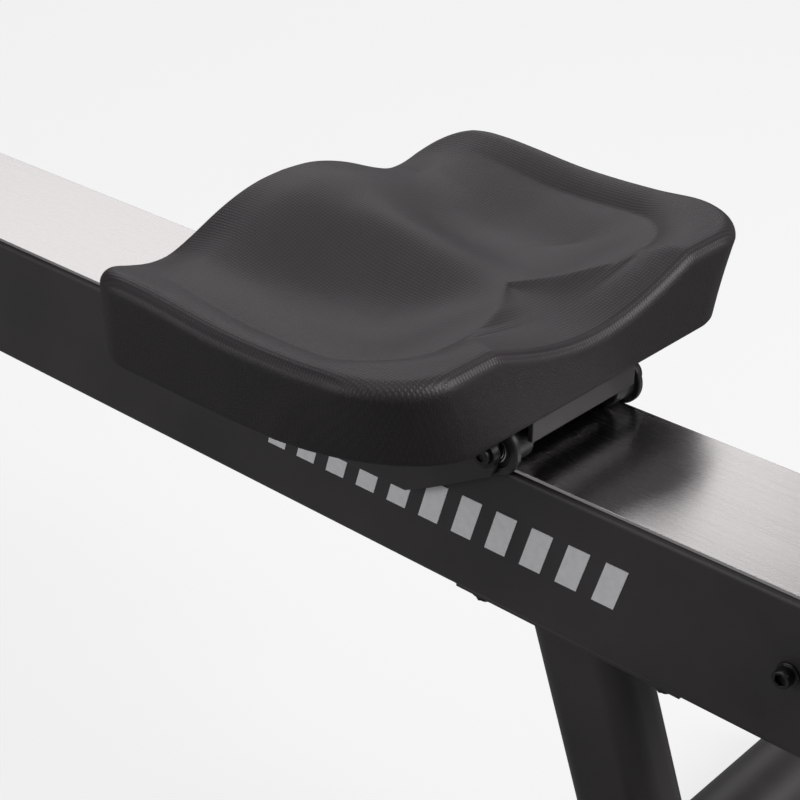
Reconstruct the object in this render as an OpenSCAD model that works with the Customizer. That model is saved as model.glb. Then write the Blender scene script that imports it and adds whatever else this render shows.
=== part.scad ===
// Air rowing machine: a seat on a box rail, a fan in a cage at the front.
// +X points to the rear, +Y to the rower's left-hand side seen from behind, +Z up. Origin on the floor.

/* [Overall] */
// Overall length of the machine
overall_len = 2400; // [2100:10:2900]
// Height of the running track above the floor
track_height = 330; // [275:5:400]

/* [Rail] */
// Width of the rail beam
rail_w = 100; // [90:1:120]
// Height of the rail beam
rail_h = 88; // [70:1:110]
// Wall of the rail beam
rail_wall = 2.5; // [2:0.5:4]
// Outer corner radius of the rail beam
rail_corner = 4; // [2:0.5:7]
// Thickness of the stainless track
track_t = 2; // [1:0.5:3]
// How far the track stays in from each side of the beam
track_inset = 2; // [1:0.5:5]

/* [Seat] */
// Width of the seat, across the machine
seat_w = 320; // [265:5:385]
// Length of the seat, along the machine
seat_l = 237; // [230:1:285]
// Height of the seat's front ridge above its underside
seat_ridge_h = 63; // [52:1:76]
// Height of the seat's rims above its underside
seat_rim_h = 47; // [40:1:52]
// Height of the seat's hollows above its underside
seat_hollow_h = 32; // [26:1:38]
// Underside of the seat above the track
seat_rise = 33.6; // [30:0.2:40]
// Centre of the seat at rest, measured from the rear end of the rail
seat_from_end = 348; // [300:2:420]

/* [Carriage] */
// Tread diameter of a seat wheel
tread_d = 22.4; // [18:0.1:24]
// How far a wheel flange stands out beyond the tread
flange_lip = 3.8; // [2.5:0.1:4.5]
// Distance between the front and rear seat axles
wheel_base = 190; // [160:2:205]
// Diameter of the seat axles
axle_d = 10; // [8:0.5:11]
// Thickness of the folded carriage plate
plate_t = 3; // [2:0.5:4]
// Depth of the side lobes below the track
lobe_drop = 36; // [30:1:44]

/* [Rear stand] */
// Rear foot bar's centre, measured from the rear end of the rail
rear_foot_from_end = 168; // [135:1:205]
// Diameter of both foot bars
foot_d = 60; // [48:1:72]
// Length of the rear foot bar
rear_foot_len = 460; // [380:5:560]
// Height of a foot bar's underside above the floor
foot_lift = 14; // [8:1:20]
// Lean of the rear leg
leg_lean = 19; // [12:0.5:24]
// Size of the rear leg along the machine
leg_l = 60; // [48:1:72]
// Size of the rear leg across the machine
leg_w = 40; // [32:1:48]

/* [Front stand] */
// Length of the front foot bar
front_foot_len = 560; // [460:5:660]
// Diameter of a transport wheel
caster_d = 64; // [54:1:74]

/* [Fan] */
// Diameter of the fan cage
cage_d = 540; // [450:5:600]
// Height of the fan's axis above the floor
fan_h = 430; // [400:5:520]
// Width of the fan blades
blade_w = 84; // [70:1:92]
// Number of blades
blade_count = 16; // [10:1:24]
// Diameter of the fan shaft
fan_shaft_d = 17; // [14:1:20]
// Distance from the fan's axis back to the mast
mast_from_fan = 370; // [350:5:430]

/* [Drive] */
// Diameter of the drive pulley
drive_pulley_d = 150; // [120:2:170]
// Diameter of the fan pulley
fan_pulley_d = 50; // [42:1:62]
// Height of the pull strap above the track
strap_rise = 265; // [245:5:300]
// Width of the pull strap
strap_w = 25; // [20:1:30]
// Thickness of the pull strap
strap_t = 3; // [2:0.5:4]
// Radius of the strap wound on its drum
wrap_r = 35; // [30:1:40]

/* [Handle] */
// Length of the handle
handle_len = 500; // [420:5:600]
// Diameter of the grips
grip_d = 32; // [28:1:38]
// Distance from the mast back to the handle at rest
handle_from_mast = 150; // [140:5:200]

/* [Footrests] */
// Width of a foot plate
foot_plate_w = 110; // [95:1:130]
// Length of a foot plate
foot_plate_l = 285; // [250:5:320]
// Slope of the foot plates
foot_plate_slope = 50; // [42:1:56]

/* [Console] */
// Length of the console arm
arm_len = 300; // [250:5:360]
// Width of the console
console_w = 210; // [170:5:250]
// Height of the console
console_h = 140; // [115:5:170]

/* [Clearances] */
// Gap between pieces that move past each other
gap = 0.3; // [0.3:0.05:0.6]
// Radial running clearance of a shaft in its bore
run_fit = 0.05; // [0.03:0.01:0.09]

/* [Hidden] */
$fn = 48;
eps = 0.01;

// Rail
rail_rear = overall_len / 2;
cap_t = 7;
beam_rear = rail_rear - cap_t;
beam_top = track_height - track_t;
beam_bottom = beam_top - rail_h;
beam_mid = beam_top - rail_h / 2;
track_w = rail_w - 2 * track_inset;

// Fan, mast and where the rail starts
fan_x = -overall_len / 2 + cage_d / 2;
mast_x = fan_x + mast_from_fan;
coupling_t = 8;
rail_front = mast_x + 110;

// Feet
foot_r = foot_d / 2;
foot_axis = foot_lift + foot_r;
rear_foot_x = rail_rear - rear_foot_from_end;
front_foot_x = fan_x - 60;

// Seat and carriage
seat_x = rail_rear - seat_from_end;
seat_z = track_height + seat_rise;
tread_r = tread_d / 2;
axle_z = track_height + tread_r + gap;
flange_y = rail_w / 2 + 1;
flange_t = 4;
flange_r = tread_r + flange_lip;
tread_in = rail_w / 2 - 14;
side_y = flange_y + flange_t + 1;
wheel_x = wheel_base / 2;
base_l = wheel_base + 32;

// Stops
rear_travel = 163;
stop_t = 6;
bumper_t = 14;
stop_rear_x = seat_x + base_l / 2 + rear_travel + bumper_t + 2;
stop_front_x = rail_front + 270;

// Fan and its fork
blade_in = 62;
blade_out = cage_d / 2 - 22;
fork_in = rail_w / 2;
fork_t = 6;
bearing_d = 40;
bearing_w = 12;
pulley_y = fork_in + fork_t + 6;
pulley_w = 11;
band_w = 2 * (pulley_y + pulley_w + 5);
band_t = 6;
grille_t = 14;

// Spine, from the rail's front end down to the front foot bar
spine_h = 62;
spine_dx = rail_front - coupling_t - front_foot_x;
spine_dz = beam_mid - foot_axis;
spine_slope = atan2(spine_dz, spine_dx);
spine_len = sqrt(spine_dx * spine_dx + spine_dz * spine_dz);
function spine_z(x) = foot_axis + (x - front_foot_x) * spine_dz / spine_dx;

// Drive
strap_z = track_height + strap_rise;
drum_x = mast_x - 8;
drum_z = strap_z - wrap_r;
mast_l = 60;
mast_w = 50;
mast_top = drum_z - 62;
drive_plate_t = 6;
drum_shaft_d = 15;
idler_x = mast_x + 78;
idler_r = 12;
belt_t = 3;
cover_y = pulley_y + pulley_w + 6;
cover_t = 3;
handle_x = mast_x + handle_from_mast;

// Footrests, placed from the side bracket on the rail
heel_x = rail_front + 215;
heel_z = track_height - 20;
plate_in = rail_w / 2 + 26;
plate_board_t = 9;
cross_d = 28;
cup_side = 4;

// Console
arm_x = mast_x - 34;
arm_z = strap_z + 62;
arm_lean = 12;
arm_d = 32;
arm_top_x = arm_x + arm_len * sin(arm_lean);
arm_top_z = arm_z + arm_len * cos(arm_lean);
console_t = 34;
console_tilt = 22;
button_d = 15;
button_proud = 2.4;

// Shapes used by several pieces
module rounded_rect(w, h, r) {
    square([w - 2 * r, h], center = true);
    square([w, h - 2 * r], center = true);
    for (sx = [-1, 1], sy = [-1, 1])
        translate([sx * (w / 2 - r), sy * (h / 2 - r)]) circle(r);
}

module box_tube(w, h, r, wall, len) {
    linear_extrude(len) difference() {
        rounded_rect(w, h, r);
        rounded_rect(w - 2 * wall, h - 2 * wall, max(r - wall, 0.6));
    }
}

module along_y(r, y0, y1) {
    translate([0, y0, 0]) rotate([-90, 0, 0]) cylinder(r = r, h = y1 - y0);
}

module plate_xz(y0, t) {
    translate([0, y0 + t, 0]) rotate([90, 0, 0]) linear_extrude(t) children();
}

module both_sides() {
    children();
    mirror([0, 1, 0]) children();
}

// Rail
module rail_beam() {
    color("#2c2a2c") translate([rail_front, 0, beam_mid]) rotate([0, 90, 0]) rotate([0, 0, 90])
        box_tube(rail_w, rail_h, rail_corner, rail_wall, beam_rear - rail_front);
}

module rail_track() {
    color("#c8c8ca") translate([rail_front, -track_w / 2, beam_top])
        cube([beam_rear - rail_front, track_w, track_t]);
}

module rail_end_cap() {
    color("#151515") {
        translate([beam_rear, 0, beam_mid + track_t / 2]) rotate([0, 90, 0]) rotate([0, 0, 90])
            linear_extrude(cap_t) rounded_rect(rail_w, rail_h + track_t, rail_corner);
        translate([beam_rear - 25, 0, beam_mid]) rotate([0, 90, 0]) rotate([0, 0, 90])
            box_tube(rail_w - 2 * rail_wall - 0.4, rail_h - 2 * rail_wall - 0.4, 2, 4, 25 + eps);
    }
}

decal_len = 264;
decal_h = 26;
decal_rear = 166;
module rail_decal() {
    color("#d0d0d2") for (i = [0 : 10])
        translate([rail_rear - decal_rear - decal_len + i * decal_len / 11, -rail_w / 2 - 0.4, beam_mid + 4])
            plate_xz(0, 0.4) polygon([[0, -decal_h / 2], [14, -decal_h / 2], [22, decal_h / 2], [8, decal_h / 2]]);
}

screw_x = [rail_rear - 74, rail_rear - 42];
screw_z = beam_mid + 3;
module rail_side_screws() {
    color("#1a1a1c") both_sides() for (x = screw_x)
        translate([x, 0, screw_z]) {
            along_y(6, rail_w / 2, rail_w / 2 + 1.6);
            difference() {
                along_y(5, rail_w / 2 + 1.6, rail_w / 2 + 7.6);
                translate([0, rail_w / 2 + 4.4, 0]) rotate([-90, 0, 0]) cylinder(r = 2.9, h = 4, $fn = 6);
            }
        }
}

// Stops: an upright plate on a foot that is bolted to the beam's top through the track
module stop_at(x, side) {
    translate([x, 0, track_height]) {
        translate([side > 0 ? 0 : -26, -34, 0]) cube([26, 68, 5]);
        translate([side > 0 ? 0 : -stop_t, -34, 0]) cube([stop_t, 68, 17]);
        for (y = [-22, 22]) translate([side * 16, y, 5]) cylinder(d = 9, h = 4);
    }
}

module seat_stops() {
    color("#202022") {
        stop_at(stop_rear_x, 1);
        stop_at(stop_front_x, -1);
    }
}

module stop_bumpers() {
    color("#0f0f10") for (y = [-22, 22]) {
        translate([stop_rear_x - bumper_t, y, track_height + 10]) rotate([0, 90, 0]) cylinder(d = 15, h = bumper_t);
        translate([stop_front_x, y, track_height + 10]) rotate([0, 90, 0]) cylinder(d = 15, h = bumper_t);
    }
}

// Rear stand
flange_plate_t = 3;
leg_top = beam_bottom - flange_plate_t;
leg_foot_x = rear_foot_x;
function leg_x(z) = leg_foot_x - (z - foot_axis) * tan(leg_lean);
flange_plate_l = 150;
flange_plate_w = 92;
flange_back = 24.5;
leg_sink = 1;
flange_bolt_x = 61;
flange_bolt_y = 37;

module rear_leg() {
    color("#2a282a") {
        difference() {
            translate([leg_foot_x, 0, foot_axis]) rotate([0, -leg_lean, 0])
                box_tube(leg_l, leg_w, 15, 3, beam_bottom - foot_axis);
            translate([leg_foot_x - 400, -100, leg_top + leg_sink]) cube([800, 200, 200]);
            translate([leg_foot_x, 0, foot_axis]) along_y(foot_r, -50, 50);
        }
        translate([leg_x(leg_top) + flange_back - flange_plate_l / 2, -flange_plate_w / 2, leg_top])
            cube([flange_plate_l, flange_plate_w, flange_plate_t]);
    }
}

module rear_leg_bolts() {
    color("#17171a") for (s = [-1, 1], y = [-flange_bolt_y, flange_bolt_y])
        translate([leg_x(leg_top) + flange_back + s * flange_bolt_x, y, leg_top]) rotate([180, 0, 0]) {
            cylinder(d = 17, h = 1.6);
            translate([0, 0, 1.6]) cylinder(d = 13, h = 3);
            translate([0, 0, 4.6]) cylinder(d1 = 13, d2 = 6, h = 3);
        }
}

module foot_bar(x, len) {
    translate([x, 0, foot_axis]) difference() {
        along_y(foot_r, -len / 2, len / 2);
        along_y(foot_r - 2.5, -len / 2 - 1, len / 2 + 1);
    }
}

module foot_shoe(x, len) {
    shoe_in = 34;
    translate([x, 0, foot_axis]) {
        difference() {
            union() {
                along_y(foot_r + 3, len / 2 - shoe_in, len / 2 + 4);
                translate([-foot_r - 3, len / 2 - shoe_in, -foot_axis]) cube([foot_d + 6, shoe_in + 4, foot_axis - 6]);
            }
            along_y(foot_r, len / 2 - shoe_in - 1, len / 2);
        }
    }
}

module rear_foot_bar() { color("#2e2c2e") foot_bar(rear_foot_x, rear_foot_len); }
module rear_foot_shoes() { color("#101010") both_sides() foot_shoe(rear_foot_x, rear_foot_len); }

// Front stand
module front_spine() {
    color("#2c2a2c") {
        difference() {
            translate([front_foot_x, 0, foot_axis]) rotate([0, 90 - spine_slope, 0]) rotate([0, 0, 90])
                box_tube(rail_w, spine_h, rail_corner, rail_wall, spine_len + 30);
            translate([rail_front - coupling_t, -rail_w, 0]) cube([300, 2 * rail_w, 900]);
            translate([front_foot_x, 0, foot_axis]) along_y(foot_r, -rail_w, rail_w);
        }
        translate([rail_front - coupling_t, 0, beam_mid]) rotate([0, 90, 0]) rotate([0, 0, 90])
            linear_extrude(coupling_t) rounded_rect(rail_w, rail_h, rail_corner);
    }
}

module front_foot_bar() { color("#2e2c2e") foot_bar(front_foot_x, front_foot_len); }
module front_foot_shoes() { color("#101010") both_sides() foot_shoe(front_foot_x, front_foot_len); }

caster_y = front_foot_len / 2 - 78;
caster_x = front_foot_x - foot_r - caster_d / 2 - 6;
caster_z = caster_d / 2 + 6;
caster_t = 24;
caster_pin = 10;
module caster_forks() {
    color("#202022") both_sides() translate([0, caster_y, 0]) {
        difference() {
            for (y = [-caster_t / 2 - 5, caster_t / 2 + 1]) plate_xz(y, 4)
                polygon([[front_foot_x, foot_axis - 12], [front_foot_x, foot_axis + 12],
                    [caster_x - 9, caster_z + 12], [caster_x - 9, caster_z - 9]]);
            translate([front_foot_x, 0, foot_axis]) along_y(foot_r, -30, 30);
        }
        translate([caster_x, 0, caster_z]) along_y(caster_pin / 2, -caster_t / 2 - 8, caster_t / 2 + 8);
    }
}

module caster(side) {
    color("#141414") translate([caster_x, side * caster_y, caster_z]) rotate([90, 0, 0])
        rotate_extrude() translate([caster_pin / 2 + run_fit, 0])
            polygon([[0, -12], [7, -12], [9, -8], [caster_d / 2 - 14, -8], [caster_d / 2 - 11, -11],
                [caster_d / 2 - 8, -11], [caster_d / 2 - 5.1, -7], [caster_d / 2 - 5.1, 7],
                [caster_d / 2 - 8, 11], [caster_d / 2 - 11, 11], [caster_d / 2 - 14, 8], [9, 8], [7, 12], [0, 12]]);
}
module caster_left() { caster(-1); }
module caster_right() { caster(1); }

module mast() {
    color("#2c2a2c") difference() {
        translate([mast_x, 0, 0]) linear_extrude(mast_top) difference() {
            rounded_rect(mast_l, mast_w, 6);
            rounded_rect(mast_l - 6, mast_w - 6, 3);
        }
        spine_cut();
    }
}

// Everything below the spine's upper face
module spine_cut() {
    translate([front_foot_x, 0, foot_axis]) rotate([0, -spine_slope, 0])
        translate([-200, -rail_w, -800]) cube([spine_len + 500, 2 * rail_w, 800 + spine_h / 2]);
}

// Two plates on the spine's sides that carry the fan shaft, with posts for the cage
belt_dir = atan2(drum_z - fan_h, drum_x - fan_x);
module fan_forks() {
    base_z = spine_z(fan_x);
    head_r = 46;
    post_r = 4;
    color("#2c2a2c") both_sides() {
        plate_xz(fork_in, fork_t) difference() {
            union() {
                polygon([[fan_x - 22, base_z + 4], [fan_x + 104, base_z + 34], [fan_x + 104, base_z + 60],
                    [fan_x + 34, fan_h], [fan_x - 34, fan_h]]);
                translate([fan_x, fan_h]) circle(head_r);
            }
            translate([fan_x, fan_h]) circle(bearing_d / 2);
        }
        for (a = [0, 120, 240]) translate([fan_x + 38 * cos(belt_dir + a), 0, fan_h + 38 * sin(belt_dir + a)])
            along_y(post_r, fork_in + fork_t, band_w / 2 + grille_t - 4);
    }
}

// Fan
module ring_y(x, z, r_in, r_out, y0, y1) {
    translate([x, 0, z]) difference() {
        along_y(r_out, y0, y1);
        along_y(r_in, y0 - 1, y1 + 1);
    }
}

module fan_bearings() {
    color("#b8b8ba") both_sides() ring_y(fan_x, fan_h, fan_shaft_d / 2 + run_fit, bearing_d / 2 - 0.02,
        fork_in + fork_t / 2 - bearing_w / 2, fork_in + fork_t / 2 + bearing_w / 2);
}

module fan_shaft() {
    color("#a0a0a4") translate([fan_x, 0, fan_h]) along_y(fan_shaft_d / 2, -fork_in - fork_t - 10, pulley_y + pulley_w + 2);
}

module fan_rotor() {
    color("#3a3a3e") {
        ring_y(fan_x, fan_h, fan_shaft_d / 2, 34, -blade_w / 2 + 2, blade_w / 2 - 2);
        ring_y(fan_x, fan_h, 33, blade_out, -1.5, 1.5);
        for (i = [0 : blade_count - 1]) translate([fan_x, 0, fan_h]) rotate([0, i * 360 / blade_count, 0])
            translate([blade_in, -blade_w / 2, -1.2]) cube([blade_out - blade_in, blade_w, 2.4]);
    }
}

module fan_pulley() {
    color("#1c1c1e") {
        ring_y(fan_x, fan_h, fan_shaft_d / 2, fan_pulley_d / 2, pulley_y, pulley_y + pulley_w);
        ring_y(fan_x, fan_h, fan_pulley_d / 2 - 1, fan_pulley_d / 2 + belt_t, pulley_y - 1, pulley_y + 0.2);
    }
}

// Cage
module cage_band() {
    color("#161618") difference() {
        ring_y(fan_x, fan_h, cage_d / 2 - band_t, cage_d / 2, -band_w / 2, band_w / 2);
        // Where the fork comes up from the spine
        translate([fan_x - 50, -fork_in - fork_t - 2, 0]) cube([164, 2 * (fork_in + fork_t + 2), fan_h - 150]);
        // Where the belt runs back to the drive pulley
        translate([fan_x + cage_d / 2 - 60, pulley_y - 4, fan_h - 40]) cube([120, pulley_w + 8, 260]);
    }
}

module grille(side) {
    y0 = side > 0 ? band_w / 2 : -band_w / 2 - grille_t;
    face_y = side > 0 ? y0 + grille_t - 4 : y0;
    r = cage_d / 2;
    color("#161618") {
        ring_y(fan_x, fan_h, r - 12, r, y0, y0 + grille_t);
        for (k = [1 : 3]) ring_y(fan_x, fan_h, 70 + k * (r - 82) / 4 - 2.5, 70 + k * (r - 82) / 4 + 2.5, face_y, face_y + 4);
        ring_y(fan_x, fan_h, fan_shaft_d / 2 + 4, 70, face_y, face_y + 4);
        for (i = [0 : 11]) translate([fan_x, 0, fan_h]) rotate([0, 15 + i * 30, 0])
            translate([66, face_y, -2.5]) cube([r - 74, 4, 5]);
    }
}
module cage_left() {
    grille(-1);
    color("#161618") translate([fan_x, 0, fan_h]) along_y(22, -band_w / 2 - grille_t - 9, -band_w / 2 - grille_t + 4);
}
module cage_right() {
    grille(1);
    color("#161618") translate([fan_x, 0, fan_h]) along_y(30, band_w / 2 + grille_t - 4, band_w / 2 + grille_t + 4);
}

// Shutter ring that turns on the left grille's boss
module damper() {
    y1 = -band_w / 2 - grille_t - gap;
    color("#2f2f33") {
        ring_y(fan_x, fan_h, 22 + run_fit, 118, y1 - 3, y1);
        ring_y(fan_x, fan_h, 22 + run_fit, 34, y1 - 7, y1 - 2);
        translate([fan_x, 0, fan_h]) rotate([0, -60, 0]) {
            translate([100, y1 - 7, -9]) cube([70, 5, 18]);
            translate([162, 0, 0]) along_y(13, y1 - 24, y1 - 4);
        }
    }
}

// Drive
module drive_plates() {
    color("#2a282a") both_sides() plate_xz(mast_w / 2, drive_plate_t) difference() {
        union() {
            translate([mast_x - 48, mast_top - 60]) square([84, drum_z + 30 - mast_top + 60]);
            translate([mast_x + 20, strap_z - 58]) square([idler_x - mast_x - 8, 52]);
            translate([arm_x - 20, drum_z]) square([40, arm_z - drum_z]);
            translate([arm_x, arm_z]) circle(20);
        }
        translate([drum_x, drum_z]) circle(32 / 2);
        translate([arm_x, arm_z]) circle(7 + run_fit);
        translate([idler_x, strap_z - strap_t / 2 - gap - idler_r]) circle(5);
    }
}

module drum_bearings() {
    color("#b8b8ba") both_sides() ring_y(drum_x, drum_z, drum_shaft_d / 2 + run_fit, 32 / 2 - 0.02,
        mast_w / 2 - 1, mast_w / 2 + drive_plate_t + 1);
}

module strap_drum() {
    drum_w = mast_w - 6;
    color("#3a3a3e") {
        translate([drum_x, 0, drum_z]) along_y(drum_shaft_d / 2, -mast_w / 2 - drive_plate_t - 4, pulley_y + pulley_w + 2);
        ring_y(drum_x, drum_z, drum_shaft_d / 2 - 1, wrap_r - strap_t / 2 - gap, -strap_w / 2 - 2, strap_w / 2 + 2);
        for (s = [-1, 1]) ring_y(drum_x, drum_z, drum_shaft_d / 2 - 1, wrap_r + 9,
            s > 0 ? strap_w / 2 + 2 : -drum_w / 2, s > 0 ? drum_w / 2 : -strap_w / 2 - 2);
    }
}

module drive_pulley() {
    color("#1c1c1e") {
        ring_y(drum_x, drum_z, drum_shaft_d / 2 + run_fit, 24, pulley_y, pulley_y + pulley_w);
        ring_y(drum_x, drum_z, 23, drive_pulley_d / 2 - 8, pulley_y + 3, pulley_y + 7);
        ring_y(drum_x, drum_z, drive_pulley_d / 2 - 9, drive_pulley_d / 2, pulley_y, pulley_y + pulley_w);
    }
}

// A closed belt round both pulleys: the outer tangent outline less the inner one
module belt_outline(grow) {
    d = [drum_x - fan_x, drum_z - fan_h];
    len = norm(d);
    r1 = fan_pulley_d / 2 + grow;
    r2 = drive_pulley_d / 2 + grow;
    a = acos((r1 - r2) / len);
    dir = atan2(d[1], d[0]);
    translate([fan_x, fan_h]) circle(r1, $fn = 96);
    translate([drum_x, drum_z]) circle(r2, $fn = 96);
    polygon([for (s = [1, -1]) each (s > 0 ?
        [[fan_x + r1 * cos(dir + a), fan_h + r1 * sin(dir + a)], [drum_x + r2 * cos(dir + a), drum_z + r2 * sin(dir + a)]] :
        [[drum_x + r2 * cos(dir - a), drum_z + r2 * sin(dir - a)], [fan_x + r1 * cos(dir - a), fan_h + r1 * sin(dir - a)]])]);
}

module drive_belt() {
    color("#0c0c0c") plate_xz(pulley_y + 0.5, pulley_w - 1) difference() {
        belt_outline(gap + belt_t - 0.6);
        belt_outline(gap);
    }
}

module idler_roller() {
    z = strap_z - strap_t / 2 - gap - idler_r;
    color("#8c8c90") {
        translate([idler_x, 0, z]) along_y(5 - run_fit, -mast_w / 2 - drive_plate_t - 1, mast_w / 2 + drive_plate_t + 1);
        translate([idler_x, 0, z]) along_y(idler_r, -mast_w / 2 + 2, mast_w / 2 - 2);
    }
}

nose_x = idler_x + 24;
belt_slack = 4;
module cover_outline(shrink) {
    r = drive_pulley_d / 2 + 12 - shrink;
    translate([drum_x, drum_z]) circle(r, $fn = 96);
    polygon([[drum_x, drum_z + r], [drum_x + r * cos(60), drum_z + r * sin(60)],
        [nose_x - shrink, strap_z + 18 - shrink], [nose_x - shrink, strap_z - 56 + shrink],
        [drum_x + r * cos(60), drum_z - r * sin(60)], [drum_x, drum_z - r]]);
}

// Half of the clamshell round the drive, from the middle plane outwards
module drive_cover(side) {
    plates_y = mast_w / 2 + drive_plate_t + 1;
    color("#1a1a1c") scale_y(side) difference() {
        plate_xz(gap / 2, cover_y + cover_t - gap / 2) cover_outline(0);
        plate_xz(-1, cover_y + 1) cover_outline(cover_t);
        // Mast and drive plates from below
        translate([mast_x - 50, -1, 0]) cube([88, plates_y + 1, drum_z - 20]);
        // Lugs of the console arm
        translate([arm_x - 22, -1, drum_z]) cube([44, plates_y + 8, 200]);
        // Strap and handle rests through the nose
        translate([nose_x - 10, -1, strap_z - 6]) cube([30, strap_w / 2 + 5, 12]);
        translate([nose_x - 10, rest_y - 1, strap_z - 52]) cube([30, 12, 30]);
        // Belt towards the fan, on the right half only
        if (side > 0) intersection() {
            plate_xz(pulley_y - 4, pulley_w + 8) belt_outline(gap + belt_t + belt_slack);
            translate([drum_x - 150, pulley_y - 5, 0]) cube([136, pulley_w + 10, 2 * strap_z]);
        }
    }
}
module scale_y(side) {
    if (side > 0) children();
    else mirror([0, 1, 0]) children();
}
module drive_cover_left() { drive_cover(-1); }
module drive_cover_right() { drive_cover(1); }

// Two ledges that hold the handle in front of the drive, each on an arm from a drive plate
rest_y = 38;
module handle_rests() {
    bar_r = 11;
    bar_low = strap_z - bar_r - gap;
    bar_front = handle_x - bar_r - gap;
    color("#202022") both_sides() {
        plate_xz(rest_y, 10) polygon([
            [idler_x, strap_z - 50], [idler_x + 34, strap_z - 50], [handle_x + 14, bar_low - 9],
            [handle_x + 14, bar_low], [bar_front, bar_low], [bar_front, strap_z + 10],
            [bar_front - 8, strap_z + 10], [bar_front - 8, strap_z - 26], [idler_x, strap_z - 26]]);
        translate([idler_x, mast_w / 2 + drive_plate_t, strap_z - 50])
            cube([10, rest_y - mast_w / 2 - drive_plate_t + eps, 24]);
    }
}

// Handle and strap
yoke_l = 34;
module pull_strap() {
    color("#1b1b1e") translate([drum_x, -strap_w / 2, strap_z - strap_t / 2])
        cube([handle_x - yoke_l - drum_x, strap_w, strap_t]);
}

module handle_bar() {
    color("#3a3a3c") translate([handle_x, 0, strap_z])
        along_y(11, -handle_len / 2 + 4, handle_len / 2 - 4);
}

module handle_grips() {
    grip_in = 64;
    color("#121212") both_sides() translate([handle_x, 0, strap_z]) difference() {
        union() {
            along_y(grip_d / 2, grip_in, handle_len / 2);
            along_y(grip_d / 2 + 3, grip_in, grip_in + 6);
        }
        along_y(11, grip_in - 1, handle_len / 2 - 4);
    }
}

module handle_yoke() {
    color("#202022") translate([handle_x, 0, strap_z]) difference() {
        union() {
            along_y(17, -strap_w / 2 - 5, strap_w / 2 + 5);
            translate([-yoke_l, -strap_w / 2 - 5, -7]) cube([yoke_l, strap_w + 10, 14]);
        }
        along_y(11, -30, 30);
    }
}

// Footrests. Both foot plates share one frame, whose u axis runs up the slope from the heel
plate_y = plate_in + foot_plate_w / 2;
module on_slope() {
    translate([heel_x, 0, heel_z]) rotate([0, foot_plate_slope - 180, 0]) rotate([180, 0, 0]) children();
}

module footrest_brackets() {
    top_x = heel_x - (foot_plate_l - 60) * cos(foot_plate_slope);
    top_z = heel_z + (foot_plate_l - 60) * sin(foot_plate_slope);
    color("#2a282a") both_sides() difference() {
        plate_xz(rail_w / 2, 6) polygon([
            [heel_x - 190, beam_bottom + 12], [heel_x - 12, beam_bottom + 12], [heel_x - 12, heel_z - 34],
            [top_x - 10, top_z - 20], [top_x - 46, top_z - 20]]);
        plate_xz(rail_w / 2 - 1, 8) {
            translate([top_x - 26, top_z - 40]) circle(cross_d / 2);
            translate([heel_x - 36, heel_z - 36]) circle(cross_d / 2);
        }
    }
    color("#17171a") both_sides() for (x = [heel_x - 170, heel_x - 100])
        translate([x, 0, beam_mid]) along_y(7, rail_w / 2 + 6, rail_w / 2 + 11);
}

module footrest_tube() {
    top_x = heel_x - (foot_plate_l - 60) * cos(foot_plate_slope);
    top_z = heel_z + (foot_plate_l - 60) * sin(foot_plate_slope);
    out = plate_in + foot_plate_w - 6;
    color("#2e2c2e") {
        translate([top_x - 26, 0, top_z - 40]) along_y(cross_d / 2, -out, out);
        both_sides() translate([heel_x - 36, 0, heel_z - 36]) along_y(cross_d / 2, rail_w / 2 + eps, out);
    }
}

// A foot plate: a board with a rib under it that rests on both cross tubes
slot_l = 46;
module foot_plates() {
    color("#1d1d20") both_sides() translate([0, plate_y, 0]) on_slope() difference() {
        translate([0, -foot_plate_w / 2, -14]) cube([foot_plate_l, foot_plate_w, plate_board_t + 5]);
        translate([8, -foot_plate_w / 2 + 6, -15]) cube([foot_plate_l - 16, foot_plate_w - 12, 6]);
        for (s = [-1, 1]) translate([foot_plate_l * 0.6, s * (foot_plate_w / 2 - 7 - web_t / 2) - 2.5, -20])
            cube([slot_l, 5, 30]);
    }
}

module heel_cup(side) {
    cup_w = foot_plate_w - 26;
    color("#141416") translate([0, side * plate_y, 0]) on_slope() translate([8, 0, gap]) difference() {
        union() {
            translate([0, -cup_w / 2, 0]) cube([150, cup_w, 6]);
            translate([0, -cup_w / 2, 0]) cube([cup_side, cup_w, 46]);
            for (s = [-1, 1]) translate([0, s > 0 ? cup_w / 2 - cup_side : -cup_w / 2, 0]) cube([60, cup_side, 34]);
        }
        for (u = [70 : 14 : 134]) translate([u, 0, 3]) cube([4, cup_w - 16, 10], center = false);
        for (u = [70 : 14 : 134]) translate([u, -cup_w / 2 + 8, 3]) cube([4, cup_w - 16, 10]);
    }
}
module heel_cup_left() { heel_cup(-1); }
module heel_cup_right() { heel_cup(1); }

// Each strap is a band that arches over the foot between the two slots
strap_peak = 78;
web_t = 2.5;
module arch_outline(r) {
    spring = strap_peak - foot_plate_w / 2 + 7;
    translate([0, spring]) circle(r);
    translate([-r, -20]) square([2 * r, spring + 20]);
}
module foot_straps() {
    arch_r = foot_plate_w / 2 - 7;
    color("#1b1b1e") both_sides() translate([0, plate_y, 0]) on_slope()
        translate([foot_plate_l * 0.6 + 3, 0, 0]) rotate([90, 0, 90]) linear_extrude(slot_l - 6) difference() {
            arch_outline(arch_r);
            translate([0, -1]) arch_outline(arch_r - web_t);
        }
}

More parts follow.
